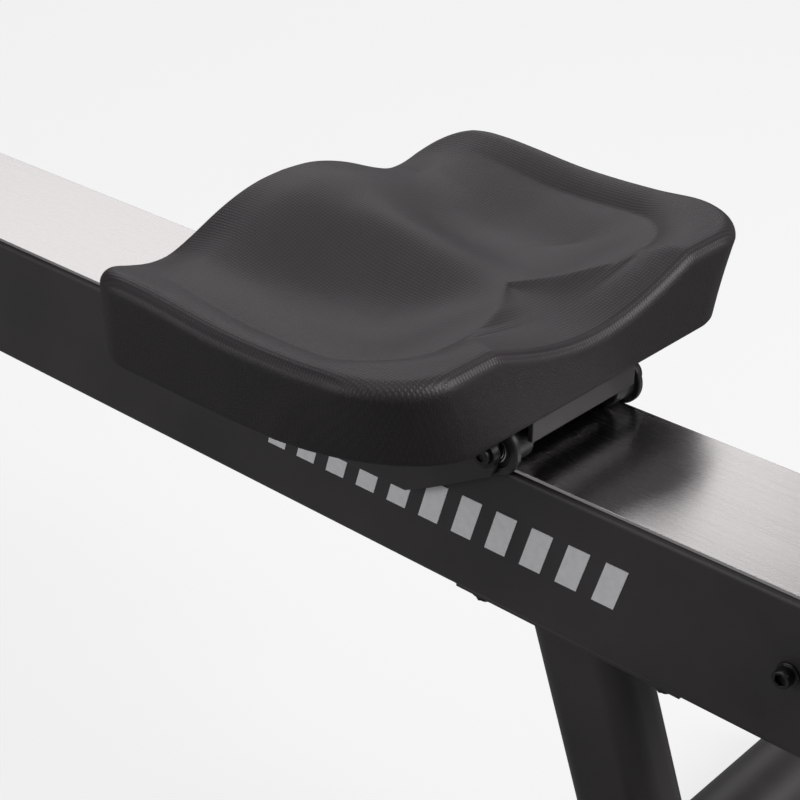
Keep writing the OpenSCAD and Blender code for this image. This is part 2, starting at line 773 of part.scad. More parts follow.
// Seat. The top is a sheet over a rounded rectangle: u runs from the front, -1, to the rear, +1, v across
seat_rings = [[0, 0.97], [0.1, 1], [0.72, 0.99], [0.92, 0.975], [1, 0.94]];
seat_in = 0.94;
seat_steps = 9;
seat_sides = 72;
seat_square = 7;
function bump(t, c, w) = exp(-pow((t - c) / w, 2));
function ramp(t, lo, hi) = let (k = min(1, max(0, (t - lo) / (hi - lo)))) k * k * (3 - 2 * k);
function seat_top(u, v) =
    let (edge = max(ramp(abs(v), 0.72, 0.92), ramp(u, 0.66, 0.9)),
        ridge = bump(v, 0, 0.42) * (1 - ramp(u, -0.9, 0.55)),
        notch = ramp(u, 0.3, 0.9) * bump(v, 0, 0.34),
        rim = seat_rim_h + 3 * pow(u, 2))
    seat_hollow_h + (rim - seat_hollow_h) * max(edge, 0.8 * ramp(-u, 0.1, 0.85))
        + (seat_ridge_h - rim) * ridge - 22 * notch;
function seat_edge(a) =
    let (c = cos(a), s = sin(a), k = pow(pow(abs(c), seat_square) + pow(abs(s), seat_square), -1 / seat_square))
    [k * c, k * s];

// A point of the shell at angle a: h is its share of the height there, s how far out it is
function seat_point(a, h, s) =
    let (e = seat_edge(a), in = min(s, seat_in))
    [seat_x + e[0] * s * seat_l / 2, e[1] * s * seat_w / 2, seat_z + h * seat_top(e[0] * in, e[1] * in)];

module seat_pad() {
    n = seat_sides;
    levels = concat(seat_rings, [for (k = [1 : seat_steps]) [1, seat_in * (1 - k / (seat_steps + 1))]]);
    last = len(levels) - 1;
    top = len(levels) * n;
    points = concat([for (r = levels, i = [0 : n - 1]) seat_point(i * 360 / n, r[0], r[1])],
        [[seat_x, 0, seat_z + seat_top(0, 0)], [seat_x, 0, seat_z]]);
    color("#161517") polyhedron(points, concat(
        [for (k = [0 : last - 1], i = [0 : n - 1]) [k * n + i, (k + 1) * n + i, (k + 1) * n + (i + 1) % n]],
        [for (k = [0 : last - 1], i = [0 : n - 1]) [k * n + i, (k + 1) * n + (i + 1) % n, k * n + (i + 1) % n]],
        [for (i = [0 : n - 1]) [last * n + i, top, last * n + (i + 1) % n]],
        [for (i = [0 : n - 1]) [i, (i + 1) % n, top + 1]]));
}

// Carriage: a folded plate with a lobed side that reaches down past the track
module seat_plate() {
    side_top = seat_rise - plate_t;
    end_x = base_l / 2 - 12;
    lip_h = 17;
    color("#1b1b1d") {
        translate([seat_x - base_l / 2, -side_y - plate_t, seat_z - plate_t]) cube([base_l, 2 * (side_y + plate_t), plate_t]);
        for (s = [-1, 1]) translate([seat_x + s * (base_l / 2 - plate_t / 2) - plate_t / 2, -side_y + 12, seat_z - lip_h])
            cube([plate_t, 2 * (side_y - 12), lip_h - plate_t + eps]);
        both_sides() difference() {
            translate([seat_x, 0, track_height]) plate_xz(side_y, plate_t) {
                polygon([[-end_x, side_top + eps], [end_x, side_top + eps], [end_x, 4], [end_x - 3, -3], [54, -lobe_drop + 9],
                    [36, -lobe_drop], [-36, -lobe_drop], [-54, -lobe_drop + 9], [-end_x + 3, -3], [-end_x, 4]]);
            }
            for (s = [-1, 1]) translate([seat_x + s * wheel_x, 0, axle_z]) along_y(axle_d / 2, side_y - 1, side_y + plate_t + 1);
        }
    }
}

module seat_axles() {
    color("#303034") for (s = [-1, 1]) translate([seat_x + s * wheel_x, 0, axle_z]) {
        along_y(axle_d / 2, -side_y - plate_t - 1, side_y + plate_t + 1);
        both_sides() {
            along_y(axle_d / 2 + 2.5, side_y + plate_t, side_y + plate_t + 5);
            along_y(axle_d / 2 + 2, tread_in - 4, tread_in - 0.4);
        }
    }
}

module seat_glides() {
    color("#3a3a3a") both_sides() for (s = [-1, 1])
        translate([seat_x + s * 40 - 9, rail_w / 2 + gap, track_height - 26]) cube([18, side_y - rail_w / 2 - gap, 14]);
}

module seat_wheel(sx, sy) {
    half = (flange_y - tread_in) / 2;
    color("#232326") translate([seat_x + sx * wheel_x, sy * (tread_in + half), axle_z]) rotate([-90 * sy, 0, 0]) {
        difference() {
            union() {
                translate([0, 0, -half]) cylinder(r = tread_r, h = 2 * half + eps);
                translate([0, 0, half]) cylinder(r = flange_r, h = flange_t);
            }
            translate([0, 0, -half - 1]) cylinder(r = axle_d / 2 + run_fit, h = 2 * half + flange_t + 2);
        }
    }
}
module wheel_front_left() { seat_wheel(-1, -1); }
module wheel_front_right() { seat_wheel(-1, 1); }
module wheel_rear_left() { seat_wheel(1, -1); }
module wheel_rear_right() { seat_wheel(1, 1); }

// Console: an arm on the drive plates, and a housing on the arm
module console_arm() {
    color("#2c2a2c") {
        translate([arm_x, 0, arm_z]) {
            along_y(18, -mast_w / 2 + gap, mast_w / 2 - gap);
            along_y(7, -mast_w / 2 - drive_plate_t - 6, mast_w / 2 + drive_plate_t + 6);
        }
        translate([arm_x, 0, arm_z]) rotate([0, arm_lean, 0]) cylinder(d = arm_d, h = arm_len);
        translate([arm_top_x, 0, arm_top_z]) {
            along_y(16, -20, 20);
            along_y(5, -36, 36);
        }
    }
}

module on_console() {
    translate([arm_top_x, 0, arm_top_z]) rotate([0, -console_tilt, 0]) children();
}

module console_housing() {
    color("#1a1a1c") on_console() {
        difference() {
            translate([18, 0, 46]) rotate([90, 0, 90]) linear_extrude(console_t) rounded_rect(console_w, console_h, 14);
            translate([18 + console_t - 3, -console_w / 2 + 22, 22]) cube([4, console_w - 44, console_h - 62]);
            for (k = [-1, 0, 1]) translate([18 + console_t - 8, k * 46, 1]) rotate([0, 90, 0]) cylinder(d = button_d + 1, h = 9);
        }
        both_sides() difference() {
            translate([-12, 20.5, -12]) cube([31, 8, 24]);
            along_y(5 + run_fit, 19, 30);
        }
    }
}

module console_screen() {
    color("#8d968c") on_console() translate([18 + console_t - 3 + eps, -console_w / 2 + 22.2, 22.2])
        cube([2, console_w - 44.4, console_h - 62.4]);
}

module button(k) {
    color("#6a6a6e") on_console()
        translate([18 + console_t - 5, k * 46, 1]) rotate([0, 90, 0]) cylinder(d = button_d, h = 5 + button_proud);
}
module button_left() { button(-1); }
module button_middle() { button(0); }
module button_right() { button(1); }

rail_beam();
rail_track();
rail_end_cap();
rail_decal();
rail_side_screws();
seat_stops();
stop_bumpers();
rear_leg();
rear_leg_bolts();
rear_foot_bar();
rear_foot_shoes();
front_spine();
front_foot_bar();
front_foot_shoes();
caster_forks();
caster_left();
caster_right();
mast();
fan_forks();
fan_bearings();
fan_rotor();
fan_shaft();
fan_pulley();
cage_band();
cage_left();
cage_right();
damper();
drive_plates();
drum_bearings();
strap_drum();
drive_pulley();
drive_belt();
idler_roller();
drive_cover_left();
drive_cover_right();
handle_rests();
pull_strap();
handle_bar();
handle_grips();
handle_yoke();
footrest_brackets();
footrest_tube();
foot_plates();
heel_cup_left();
heel_cup_right();
foot_straps();
seat_pad();
seat_plate();
seat_axles();
seat_glides();
wheel_front_left();
wheel_front_right();
wheel_rear_left();
wheel_rear_right();
console_arm();
console_housing();
console_screen();
button_left();
button_middle();
button_right();
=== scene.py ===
import math
import bpy
import bmesh
from mathutils import Matrix, Vector


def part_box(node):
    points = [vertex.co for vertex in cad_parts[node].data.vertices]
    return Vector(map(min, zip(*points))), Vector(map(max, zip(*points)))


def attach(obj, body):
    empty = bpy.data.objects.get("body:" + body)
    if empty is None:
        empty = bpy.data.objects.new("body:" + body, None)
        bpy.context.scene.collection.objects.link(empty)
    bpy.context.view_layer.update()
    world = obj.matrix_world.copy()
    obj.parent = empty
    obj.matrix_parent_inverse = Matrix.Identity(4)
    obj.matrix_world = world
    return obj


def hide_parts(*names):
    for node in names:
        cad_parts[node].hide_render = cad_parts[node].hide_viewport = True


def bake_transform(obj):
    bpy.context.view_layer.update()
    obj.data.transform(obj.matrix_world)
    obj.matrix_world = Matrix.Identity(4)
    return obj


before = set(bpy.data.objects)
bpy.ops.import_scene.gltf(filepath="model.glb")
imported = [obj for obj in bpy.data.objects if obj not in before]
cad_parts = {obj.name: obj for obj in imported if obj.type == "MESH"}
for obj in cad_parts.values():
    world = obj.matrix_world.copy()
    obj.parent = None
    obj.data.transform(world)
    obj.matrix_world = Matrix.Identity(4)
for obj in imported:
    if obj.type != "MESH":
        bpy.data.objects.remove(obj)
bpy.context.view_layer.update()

mm = 0.001
print("frame loaded,", len(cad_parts), "parts")


def addNode(tree, kind, inputs=None, **settings):
    node = tree.nodes.new(kind)
    for name, value in settings.items():
        setattr(node, name, value)
    for name, value in (inputs or {}).items():
        if isinstance(value, bpy.types.NodeSocket):
            tree.links.new(value, node.inputs[name])
        else:
            node.inputs[name].default_value = value
    return node


def meshObject(name, verts, faces, smooth=True):
    mesh = bpy.data.meshes.new(name)
    mesh.from_pydata([tuple(v) for v in verts], [], faces)
    mesh.validate()
    mesh.polygons.foreach_set("use_smooth", [smooth] * len(mesh.polygons))
    obj = bpy.data.objects.new(name, mesh)
    bpy.context.scene.collection.objects.link(obj)
    return obj


def tidyNormals(obj):
    work = bmesh.new()
    work.from_mesh(obj.data)
    bmesh.ops.remove_doubles(work, verts=work.verts, dist=1e-6)
    bmesh.ops.recalc_face_normals(work, faces=work.faces)
    work.to_mesh(obj.data)
    work.free()
    obj.data.update()
    return obj


def movePoints(obj, matrix):
    obj.data.transform(matrix)
    obj.data.update()
    return obj


def smoothStep(t, low, high):
    k = min(1.0, max(0.0, (t - low) / (high - low)))
    return k * k * (3 - 2 * k)


def between(t, table):
    # a smooth curve through the table's points
    last = len(table) - 1
    if t <= table[0][0]:
        return table[0][1]
    if t >= table[last][0]:
        return table[last][1]

    def slope(i):
        a, b = table[max(i - 1, 0)], table[min(i + 1, last)]
        return (b[1] - a[1]) / (b[0] - a[0])

    k = next(i for i in range(last) if t <= table[i + 1][0])
    (start, v0), (end, v1) = table[k], table[k + 1]
    run = end - start
    u = (t - start) / run
    m0, m1 = slope(k) * run, slope(k + 1) * run
    ends = ((2 * u - 3) * u * u + 1) * v0 + (3 - 2 * u) * u * u * v1
    return ends + ((u - 2) * u + 1) * u * m0 + (u - 1) * u * u * m1


cameraView = {"place": (1.4549, -0.6796, 0.8085), "lens": 80.97, "tiltDown": 28.6, "turn": 42.59}
softLights = {
    "overhead": {"place": (0.5, -0.3, 2.6), "aim": (0.8, 0, 0.35), "size": (2.4, 1.3), "power": 11},
    "leftWall": {"place": (-0.5, -2.6, 1.3), "aim": (0.8, 0, 0.35), "size": (2.0, 1.6), "power": 25},
    "backWall": {"place": (-1.5, 2.3, 2.0), "aim": (0.6, 0, 0.35), "size": (3.0, 1.7), "power": 21},
    "rightHigh": {"place": (2.9, 0.9, 2.0), "aim": (0.95, 0, 0.38), "size": (1.3, 1.3), "power": 54},
}
studioTone = {"seen": 0.9, "lit": 0.055, "floorSeen": 0.80, "floorLit": 0.11}
floorSize = 30


def makeCamera():
    data = bpy.data.cameras.new("camera")
    data.lens = cameraView["lens"]
    data.sensor_width = 36
    data.clip_start = 0.05
    camera = bpy.data.objects.new("camera", data)
    camera.location = cameraView["place"]
    camera.rotation_euler = (math.radians(90 - cameraView["tiltDown"]), 0, math.radians(cameraView["turn"]))
    bpy.context.scene.collection.objects.link(camera)
    bpy.context.scene.camera = camera


def makeLights():
    for name, light in softLights.items():
        data = bpy.data.lights.new(name, "AREA")
        data.shape = "RECTANGLE"
        data.size, data.size_y = light["size"]
        data.energy = light["power"]
        lamp = bpy.data.objects.new(name, data)
        lamp.location = light["place"]
        away = Vector(light["place"]) - Vector(light["aim"])
        lamp.rotation_euler = away.to_track_quat("Z", "Y").to_euler()
        bpy.context.scene.collection.objects.link(lamp)
    world = bpy.data.worlds.new("studio")
    world.use_nodes = True
    bpy.context.scene.world = world
    # the room looks pale, and lights the machine only a little, so the soft boxes shape it
    tree = world.node_tree
    path = addNode(tree, "ShaderNodeLightPath")
    tone = addNode(tree, "ShaderNodeMapRange", {"Value": path.outputs["Is Camera Ray"],
                                                "To Min": studioTone["lit"], "To Max": studioTone["seen"]})
    tree.nodes["Background"].inputs["Color"].default_value = (0.97, 0.97, 1.0, 1)
    tree.links.new(tone.outputs["Result"], tree.nodes["Background"].inputs["Strength"])


def makeFloor():
    half = floorSize / 2
    floor = meshObject("floor", [(-half, -half, 0), (half, -half, 0), (half, half, 0), (-half, half, 0)],
                       [(0, 1, 2, 3)])
    mat = bpy.data.materials.new("paleFloor")
    mat.use_nodes = True
    tree = mat.node_tree
    shader = tree.nodes["Principled BSDF"]
    path = addNode(tree, "ShaderNodeLightPath")
    tone = addNode(tree, "ShaderNodeMapRange", {"Value": path.outputs["Is Camera Ray"],
                                                "To Min": studioTone["floorLit"],
                                                "To Max": studioTone["floorSeen"]})
    mottle = addNode(tree, "ShaderNodeTexNoise", {"Scale": 3.0, "Detail": 2.0})
    ramp = addNode(tree, "ShaderNodeMapRange", {"Value": mottle.outputs["Fac"], "To Min": 0.20, "To Max": 0.22})
    tree.links.new(ramp.outputs["Result"], shader.inputs["Base Color"])
    shader.inputs["Roughness"].default_value = 0.9
    shader.inputs["Specular IOR Level"].default_value = 0.1
    shader.inputs["Emission Color"].default_value = (0.98, 0.98, 0.985, 1)
    tree.links.new(tone.outputs["Result"], shader.inputs["Emission Strength"])
    floor.data.materials.append(mat)


makeCamera()
makeLights()
makeFloor()
bpy.context.scene.view_settings.view_transform = "Standard"
print("studio ready")


# mottle is scale and share, grain is scale and depth in mm, edge is the width in mm of a painted edge highlight and
# how much lighter it paints the colour
finishes = {
    "blackPowder": {"colour": (0.040, 0.0355, 0.038), "rough": 0.44, "mottle": (14, 0.25),
                    "grain": (1100, 0.018), "edge": (1.4, 1.9)},
    "blackPlastic": {"colour": (0.013, 0.013, 0.014), "rough": 0.5, "mottle": (30, 0.2), "grain": (1900, 0.025),
                     "edge": (0.9, 1.7)},
    "greyPlastic": {"colour": (0.10, 0.10, 0.105), "rough": 0.46, "mottle": (30, 0.15), "grain": (1700, 0.02),
                    "edge": (0.7, 1.4)},
    "rubber": {"colour": (0.011, 0.011, 0.011), "rough": 0.78, "mottle": (60, 0.35), "grain": (700, 0.035),
               "edge": (0.8, 2.2)},
    "blackSteel": {"colour": (0.045, 0.044, 0.046), "rough": 0.36, "metal": 0.85, "mottle": (90, 0.35),
                   "grain": (900, 0.008), "edge": (0.6, 2.6)},
    "bearingSteel": {"colour": (0.52, 0.52, 0.53), "rough": 0.24, "metal": 1.0, "mottle": (160, 0.1),
                     "grain": (1500, 0.004), "edge": (0.3, 1.2)},
    "fanAluminium": {"colour": (0.30, 0.30, 0.31), "rough": 0.38, "metal": 1.0, "mottle": (50, 0.14),
                     "grain": (800, 0.008), "edge": (0.5, 1.4)},
    "wheelNylon": {"colour": (0.030, 0.030, 0.031), "rough": 0.3, "mottle": (120, 0.25), "grain": (1300, 0.006),
                   "edge": (0.4, 2.0)},
    "silverPrint": {"colour": (0.92, 0.92, 0.94), "rough": 0.42, "metal": 0.0, "mottle": (200, 0.06),
                    "grain": (2600, 0.006), "edge": (0.2, 1.0)},
    "weldBead": {"colour": (0.020, 0.019, 0.020), "rough": 0.4, "mottle": (90, 0.3), "grain": (500, 0.06),
                 "edge": (0.5, 1.8)},
}


def startMaterial(name, rough, metal=0.0, specular=0.5):
    mat = bpy.data.materials.new(name)
    mat.use_nodes = True
    shader = mat.node_tree.nodes["Principled BSDF"]
    shader.inputs["Roughness"].default_value = rough
    shader.inputs["Metallic"].default_value = metal
    shader.inputs["Specular IOR Level"].default_value = specular
    return mat, mat.node_tree, shader


def objectPlace(tree, scale=(1, 1, 1)):
    coords = addNode(tree, "ShaderNodeTexCoord")
    return addNode(tree, "ShaderNodeMapping", {"Vector": coords.outputs["Object"],
                                               "Scale": scale}).outputs["Vector"]


def scaled(tree, colour, factor):
    # a colour multiplied by a number that varies over the surface
    mix = addNode(tree, "ShaderNodeVectorMath", {0: colour, 1: factor}, operation="MULTIPLY")
    return mix.outputs["Vector"]


def surfaceVariation(tree, shader, colour, rough, mottle, place):
    noise = addNode(tree, "ShaderNodeTexNoise", {"Vector": place, "Scale": mottle[0], "Detail": 5.0})
    share = addNode(tree, "ShaderNodeMapRange", {"Value": noise.outputs["Fac"], "From Min": 0.25,
                                                 "From Max": 0.75,
                                                "To Min": 1 - mottle[1], "To Max": 1 + mottle[1]})
    gloss = addNode(tree, "ShaderNodeMapRange", {"Value": noise.outputs["Fac"], "From Min": 0.25,
                                                 "From Max": 0.75,
                                                "To Min": rough * 0.9, "To Max": rough * 1.1})
    tree.links.new(gloss.outputs["Result"], shader.inputs["Roughness"])
    return scaled(tree, colour, share.outputs["Result"])


def edgeMask(tree, width):
    # a mask of the rounded edges, used for the bevelled normal and for a painted edge highlight
    bevel = addNode(tree, "ShaderNodeBevel", {"Radius": width * mm}, samples=4)
    flat = addNode(tree, "ShaderNodeNewGeometry")
    dot = addNode(tree, "ShaderNodeVectorMath", {0: bevel.outputs["Normal"], 1: flat.outputs["Normal"]},
                  operation="DOT_PRODUCT")
    mask = addNode(tree, "ShaderNodeMapRange", {"Value": dot.outputs["Value"], "From Min": 0.995,
                                                "From Max": 0.8})
    return bevel.outputs["Normal"], mask.outputs["Result"]


def makeFinish(name, spec):
    mat, tree, shader = startMaterial(name, spec["rough"], spec.get("metal", 0.0), spec.get("specular", 0.5))
    place = objectPlace(tree)
    colour = surfaceVariation(tree, shader, spec["colour"], spec["rough"], spec["mottle"], place)
    normal, mask = edgeMask(tree, spec["edge"][0])
    # painted highlight: the base colour is made lighter along the edges that the bevel finds
    edgeHighlight = addNode(tree, "ShaderNodeMapRange", {"Value": mask, "To Min": 1.0, "To Max": spec["edge"][1]})
    tree.links.new(scaled(tree, colour, edgeHighlight.outputs["Result"]), shader.inputs["Base Color"])
    grain = addNode(tree, "ShaderNodeTexNoise", {"Vector": place, "Scale": spec["grain"][0], "Detail": 2.0})
    bump = addNode(tree, "ShaderNodeBump", {"Height": grain.outputs["Fac"],
                                            "Distance": spec["grain"][1] * mm * 4, "Normal": normal})
    tree.links.new(bump.outputs["Normal"], shader.inputs["Normal"])
    return mat


def brushedSteel():
    # fine lengthwise scratches, so reflections smear across the track
    mat, tree, shader = startMaterial("brushedSteel", 0.24, 1.0)
    long = objectPlace(tree, (6, 1400, 1400))
    fine = objectPlace(tree, (40, 4200, 4200))
    wide = addNode(tree, "ShaderNodeTexNoise", {"Vector": long, "Scale": 1.0, "Detail": 4.0})
    thin = addNode(tree, "ShaderNodeTexNoise", {"Vector": fine, "Scale": 1.0, "Detail": 2.0})
    both = addNode(tree, "ShaderNodeMath", {0: wide.outputs["Fac"], 1: thin.outputs["Fac"]}, operation="ADD")
    share = addNode(tree, "ShaderNodeMapRange", {"Value": both.outputs["Value"], "From Min": 0.6,
                                                 "From Max": 1.4, "To Min": 0.93, "To Max": 1.05})
    tree.links.new(scaled(tree, (0.64, 0.615, 0.612), share.outputs["Result"]), shader.inputs["Base Color"])
    gloss = addNode(tree, "ShaderNodeMapRange", {"Value": both.outputs["Value"], "From Min": 0.6,
                                                 "From Max": 1.4, "To Min": 0.2, "To Max": 0.3})
    tree.links.new(gloss.outputs["Result"], shader.inputs["Roughness"])
    shader.inputs["Anisotropic"].default_value = 0.55
    across = addNode(tree, "ShaderNodeCombineXYZ", {"Y": 1.0})
    tree.links.new(across.outputs["Vector"], shader.inputs["Tangent"])
    normal = edgeMask(tree, 0.5)[0]
    bump = addNode(tree, "ShaderNodeBump", {"Height": both.outputs["Value"], "Distance": 0.000004,
                                            "Normal": normal})
    tree.links.new(bump.outputs["Normal"], shader.inputs["Normal"])
    return mat


# the side colour is darker than the top colour as painted shade on the seat's walls
foamLook = {"top": (0.041, 0.0345, 0.0385), "side": (0.019, 0.0150, 0.0165), "pitch": 2.0, "dotDepth": 0.14,
            "grainScale": 620, "grainDepth": 0.12}


def seatFoam():
    # dots on top and leather grain on the walls; the walls are marked by a point attribute and given a darker
    # colour, which is painted shade
    mat, tree, shader = startMaterial("seatFoam", 0.5, 0.0, 0.45)
    place = objectPlace(tree)
    wall = addNode(tree, "ShaderNodeAttribute", attribute_name="wallMark").outputs["Fac"]
    parts = addNode(tree, "ShaderNodeSeparateXYZ", {"Vector": place})
    waves = []
    for axis in "XY":
        angle = addNode(tree, "ShaderNodeMath", {0: parts.outputs[axis],
                                                 1: 2 * math.pi / (foamLook["pitch"] * mm)},
                                                 operation="MULTIPLY")
        waves.append(addNode(tree, "ShaderNodeMath", {0: angle.outputs["Value"]},
                             operation="COSINE").outputs["Value"])
    dots = addNode(tree, "ShaderNodeMath", {0: waves[0], 1: waves[1]}, operation="ADD")
    dots = addNode(tree, "ShaderNodeMapRange", {"Value": dots.outputs["Value"], "From Min": -0.6,
                                                "From Max": 1.4}, interpolation_type="SMOOTHSTEP")
    cells = addNode(tree, "ShaderNodeTexVoronoi", {"Vector": place, "Scale": foamLook["grainScale"]},
                    feature="DISTANCE_TO_EDGE")
    creases = addNode(tree, "ShaderNodeMapRange", {"Value": cells.outputs["Distance"], "From Max": 0.22})
    rough = addNode(tree, "ShaderNodeTexNoise", {"Vector": place, "Scale": 1500.0, "Detail": 3.0})
    grain = addNode(tree, "ShaderNodeMath", {0: creases.outputs["Result"], 1: rough.outputs["Fac"]},
                    operation="ADD")
    dotHeight = addNode(tree, "ShaderNodeMath", {0: dots.outputs["Result"], 1: foamLook["dotDepth"]},
                        operation="MULTIPLY")
    grainHeight = addNode(tree, "ShaderNodeMath", {0: grain.outputs["Value"], 1: foamLook["grainDepth"]},
                          operation="MULTIPLY")
    height = addNode(tree, "ShaderNodeMix", {0: wall, 2: dotHeight.outputs["Value"],
                                             3: grainHeight.outputs["Value"]})
    bump = addNode(tree, "ShaderNodeBump", {"Height": height.outputs[0], "Distance": mm})
    tree.links.new(bump.outputs["Normal"], shader.inputs["Normal"])
    broad = addNode(tree, "ShaderNodeTexNoise", {"Vector": place, "Scale": 22.0, "Detail": 4.0})
    share = addNode(tree, "ShaderNodeMapRange", {"Value": broad.outputs["Fac"], "From Min": 0.3,
                                                 "From Max": 0.7, "To Min": 0.92, "To Max": 1.08})
    # the walls get the darker colour, which is painted shade, and the top gets the lighter one
    skin = addNode(tree, "ShaderNodeMix", {0: wall, 6: (*foamLook["top"], 1), 7: (*foamLook["side"], 1)},
                   data_type="RGBA")
    # painted highlight on the dots' tops and painted shade between them: the colour follows the dots' height
    low = addNode(tree, "ShaderNodeMapRange", {"Value": dots.outputs["Result"], "To Min": 0.8, "To Max": 1.12})
    tone = addNode(tree, "ShaderNodeMath", {0: share.outputs["Result"], 1: low.outputs["Result"]},
                   operation="MULTIPLY")
    tree.links.new(scaled(tree, skin.outputs[2], tone.outputs["Value"]), shader.inputs["Base Color"])
    gloss = addNode(tree, "ShaderNodeMapRange", {"Value": wall, "To Min": 0.47, "To Max": 0.55})
    tree.links.new(gloss.outputs["Result"], shader.inputs["Roughness"])
    return mat


looks = {name: makeFinish(name, spec) for name, spec in finishes.items()}
looks["brushedSteel"] = brushedSteel()
looks["seatFoam"] = seatFoam()
print("finishes made:", len(looks))


def dress(obj, look):
    obj.data.materials.clear()
    obj.data.materials.append(looks[look])
    return obj


def paintNodes(look, *names):
    # a CAD part keeps its shape and gets a better material
    for name in names:
        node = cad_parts[name]
        if not node.material_slots:
            node.data.materials.append(looks[look])
        for place in node.material_slots:
            place.material = looks[look]


seatShape = {
    "halfLength": 119, "halfWidth": 155.5, "frontCorner": 40,
    "topCorner": (48, 44, 0.015), "footCorner": (95, 54, 0.05),
    "round": 8.5, "footRound": 3.5,
    "hollow": 31.0, "edgeDrop": 8.0, "edgeX": 84, "edgeY": 126, "edgeCorner": 45, "edgeRun": 23, "bowlRun": 64,
    "rimAlong": [(-118, 54), (-94, 53), (-72, 51.5), (-50, 49.2), (0, 47), (47, 48.2), (74, 50.5), (100, 51)],
    "frontCrest": [(0, 59.5), (21, 58), (47, 52.5), (75, 45.5), (93, 42.5), (117, 44.5), (144, 51.5)],
    "frontRoll": 8.0, "rollMiddle": 98, "rollWidth": 40,
    "ridge": [(-118, 58.5), (-85, 59.5), (-40, 55), (10, 46.5), (45, 41), (75, 39)],
    "ridgeWidth": [(-118, 40), (-50, 36), (20, 33), (70, 28)],
    "apexX": 58, "apexHeight": 39.5, "notchFloor": 33,
    "notchHalf": [(58, 3), (75, 32), (84, 54), (90, 76), (110, 81)],
    "ringCount": 96, "edgeCount": 160, "roundSteps": 9, "wallSteps": 16,
}


def straight(t, table):
    if t <= table[0][0]:
        return table[0][1]
    for (a, va), (b, vb) in zip(table, table[1:]):
        if t <= b:
            return va + (vb - va) * (t - a) / (b - a)
    return table[-1][1]


def softLeast(a, b, blur):
    k = max(blur - abs(a - b), 0) / blur
    return min(a, b) - k * k * blur / 4


def softMost(a, b, blur):
    return -softLeast(-a, -b, blur)


def bowlHeight(x, y):
    s = seatShape
    a = abs(y)
    rim = between(x, s["rimAlong"])
    line = rim - s["edgeDrop"]
    # how far outside the bowl's edge line, a rounded rectangle that is open at the front
    dx, dy = x - (s["edgeX"] - s["edgeCorner"]), a - (s["edgeY"] - s["edgeCorner"])
    out = math.hypot(max(dx, 0), max(dy, 0)) + min(max(dx, dy), 0) - s["edgeCorner"]
    gentle = smoothStep(out, -s["bowlRun"], 0)
    steep = min(max(out / s["edgeRun"], 0), 1)
    height = s["hollow"] + (line - s["hollow"]) * gentle + (rim - line) * steep * (2 - steep)
    # front rise to the crest, then the roll that drops away under the thighs
    crest = between(a, s["frontCrest"])
    height += (crest - height) * smoothStep(-x, 0, 92) ** 1.2
    roll = s["frontRoll"] * math.exp(-((a - s["rollMiddle"]) / s["rollWidth"]) ** 2)
    height -= roll * smoothStep(-x, 74, 122) ** 1.3
    # the middle ridge, from the front crest to the notch
    spine = between(x, s["ridge"])
    width = between(x, s["ridgeWidth"])
    return height + softMost(spine - height, 0, 10) * math.exp(-(a / width) ** 2)


def notchHeight(x, y):
    s = seatShape
    a = abs(y)
    run = min(max(0.0, (x - s["apexX"]) / (s["halfLength"] - 9 - s["apexX"])), 1.1)
    floor = s["apexHeight"] - (s["apexHeight"] - s["notchFloor"]) * run
    if x < s["apexX"]:
        return floor + (s["apexX"] - x) * 0.8 + a * 0.5
    half = straight(x, s["notchHalf"])
    top = bowlHeight(x, half)
    t = a / half
    if t >= 1:
        return top + (a - half) * 0.7
    return floor + (top - floor) * t * t * (1.35 - 0.35 * t)


def seatTop(x, y):
    high = bowlHeight(x, y)
    if x < seatShape["apexX"] - 8:
        return high
    return softLeast(high, notchHeight(x, y), 1.6)


def cornerPoint(p, q, hx, hy, rx, ry):
    # a point on a rectangle's edge (p, q from 0 to 1), moved on to its rounded corner
    x, y = p * hx, q * hy
    cx, cy = x - (hx - rx), y - (hy - ry)
    if cx <= 0 or cy <= 0:
        return (x, y, 1.0, 0.0) if p == 1 and cy <= 0 else (x, y, 0.0, 1.0)
    turn = math.atan2(cy / ry, cx / rx)
    nx, ny = math.cos(turn) / rx, math.sin(turn) / ry
    size = math.hypot(nx, ny)
    return hx - rx + rx * math.cos(turn), hy - ry + ry * math.sin(turn), nx / size, ny / size


def seatOutline(inset, count, rear):
    # rear holds the rear corner's length and width, and how much the sides draw in
    s = seatShape
    out = []
    for i in range(4 * count):
        side, k = divmod(i, count)
        t = 2 * k / count - 1
        p, q = [(1, t), (-t, 1), (-1, -t), (t, -1)][side]
        rx, ry = rear[:2] if p > 0 else (s["frontCorner"], s["frontCorner"])
        x, y, nx, ny = cornerPoint(abs(p), abs(q), s["halfLength"], s["halfWidth"], rx, ry)
        x, nx = math.copysign(x, p), math.copysign(nx, p)
        y, ny = math.copysign(y, q), math.copysign(ny, q)
        y -= math.copysign(rear[2] * max(x, 0), y) * min(1, abs(y) / 80)
        out.append((x - nx * inset, y - ny * inset, nx, ny))
    return out


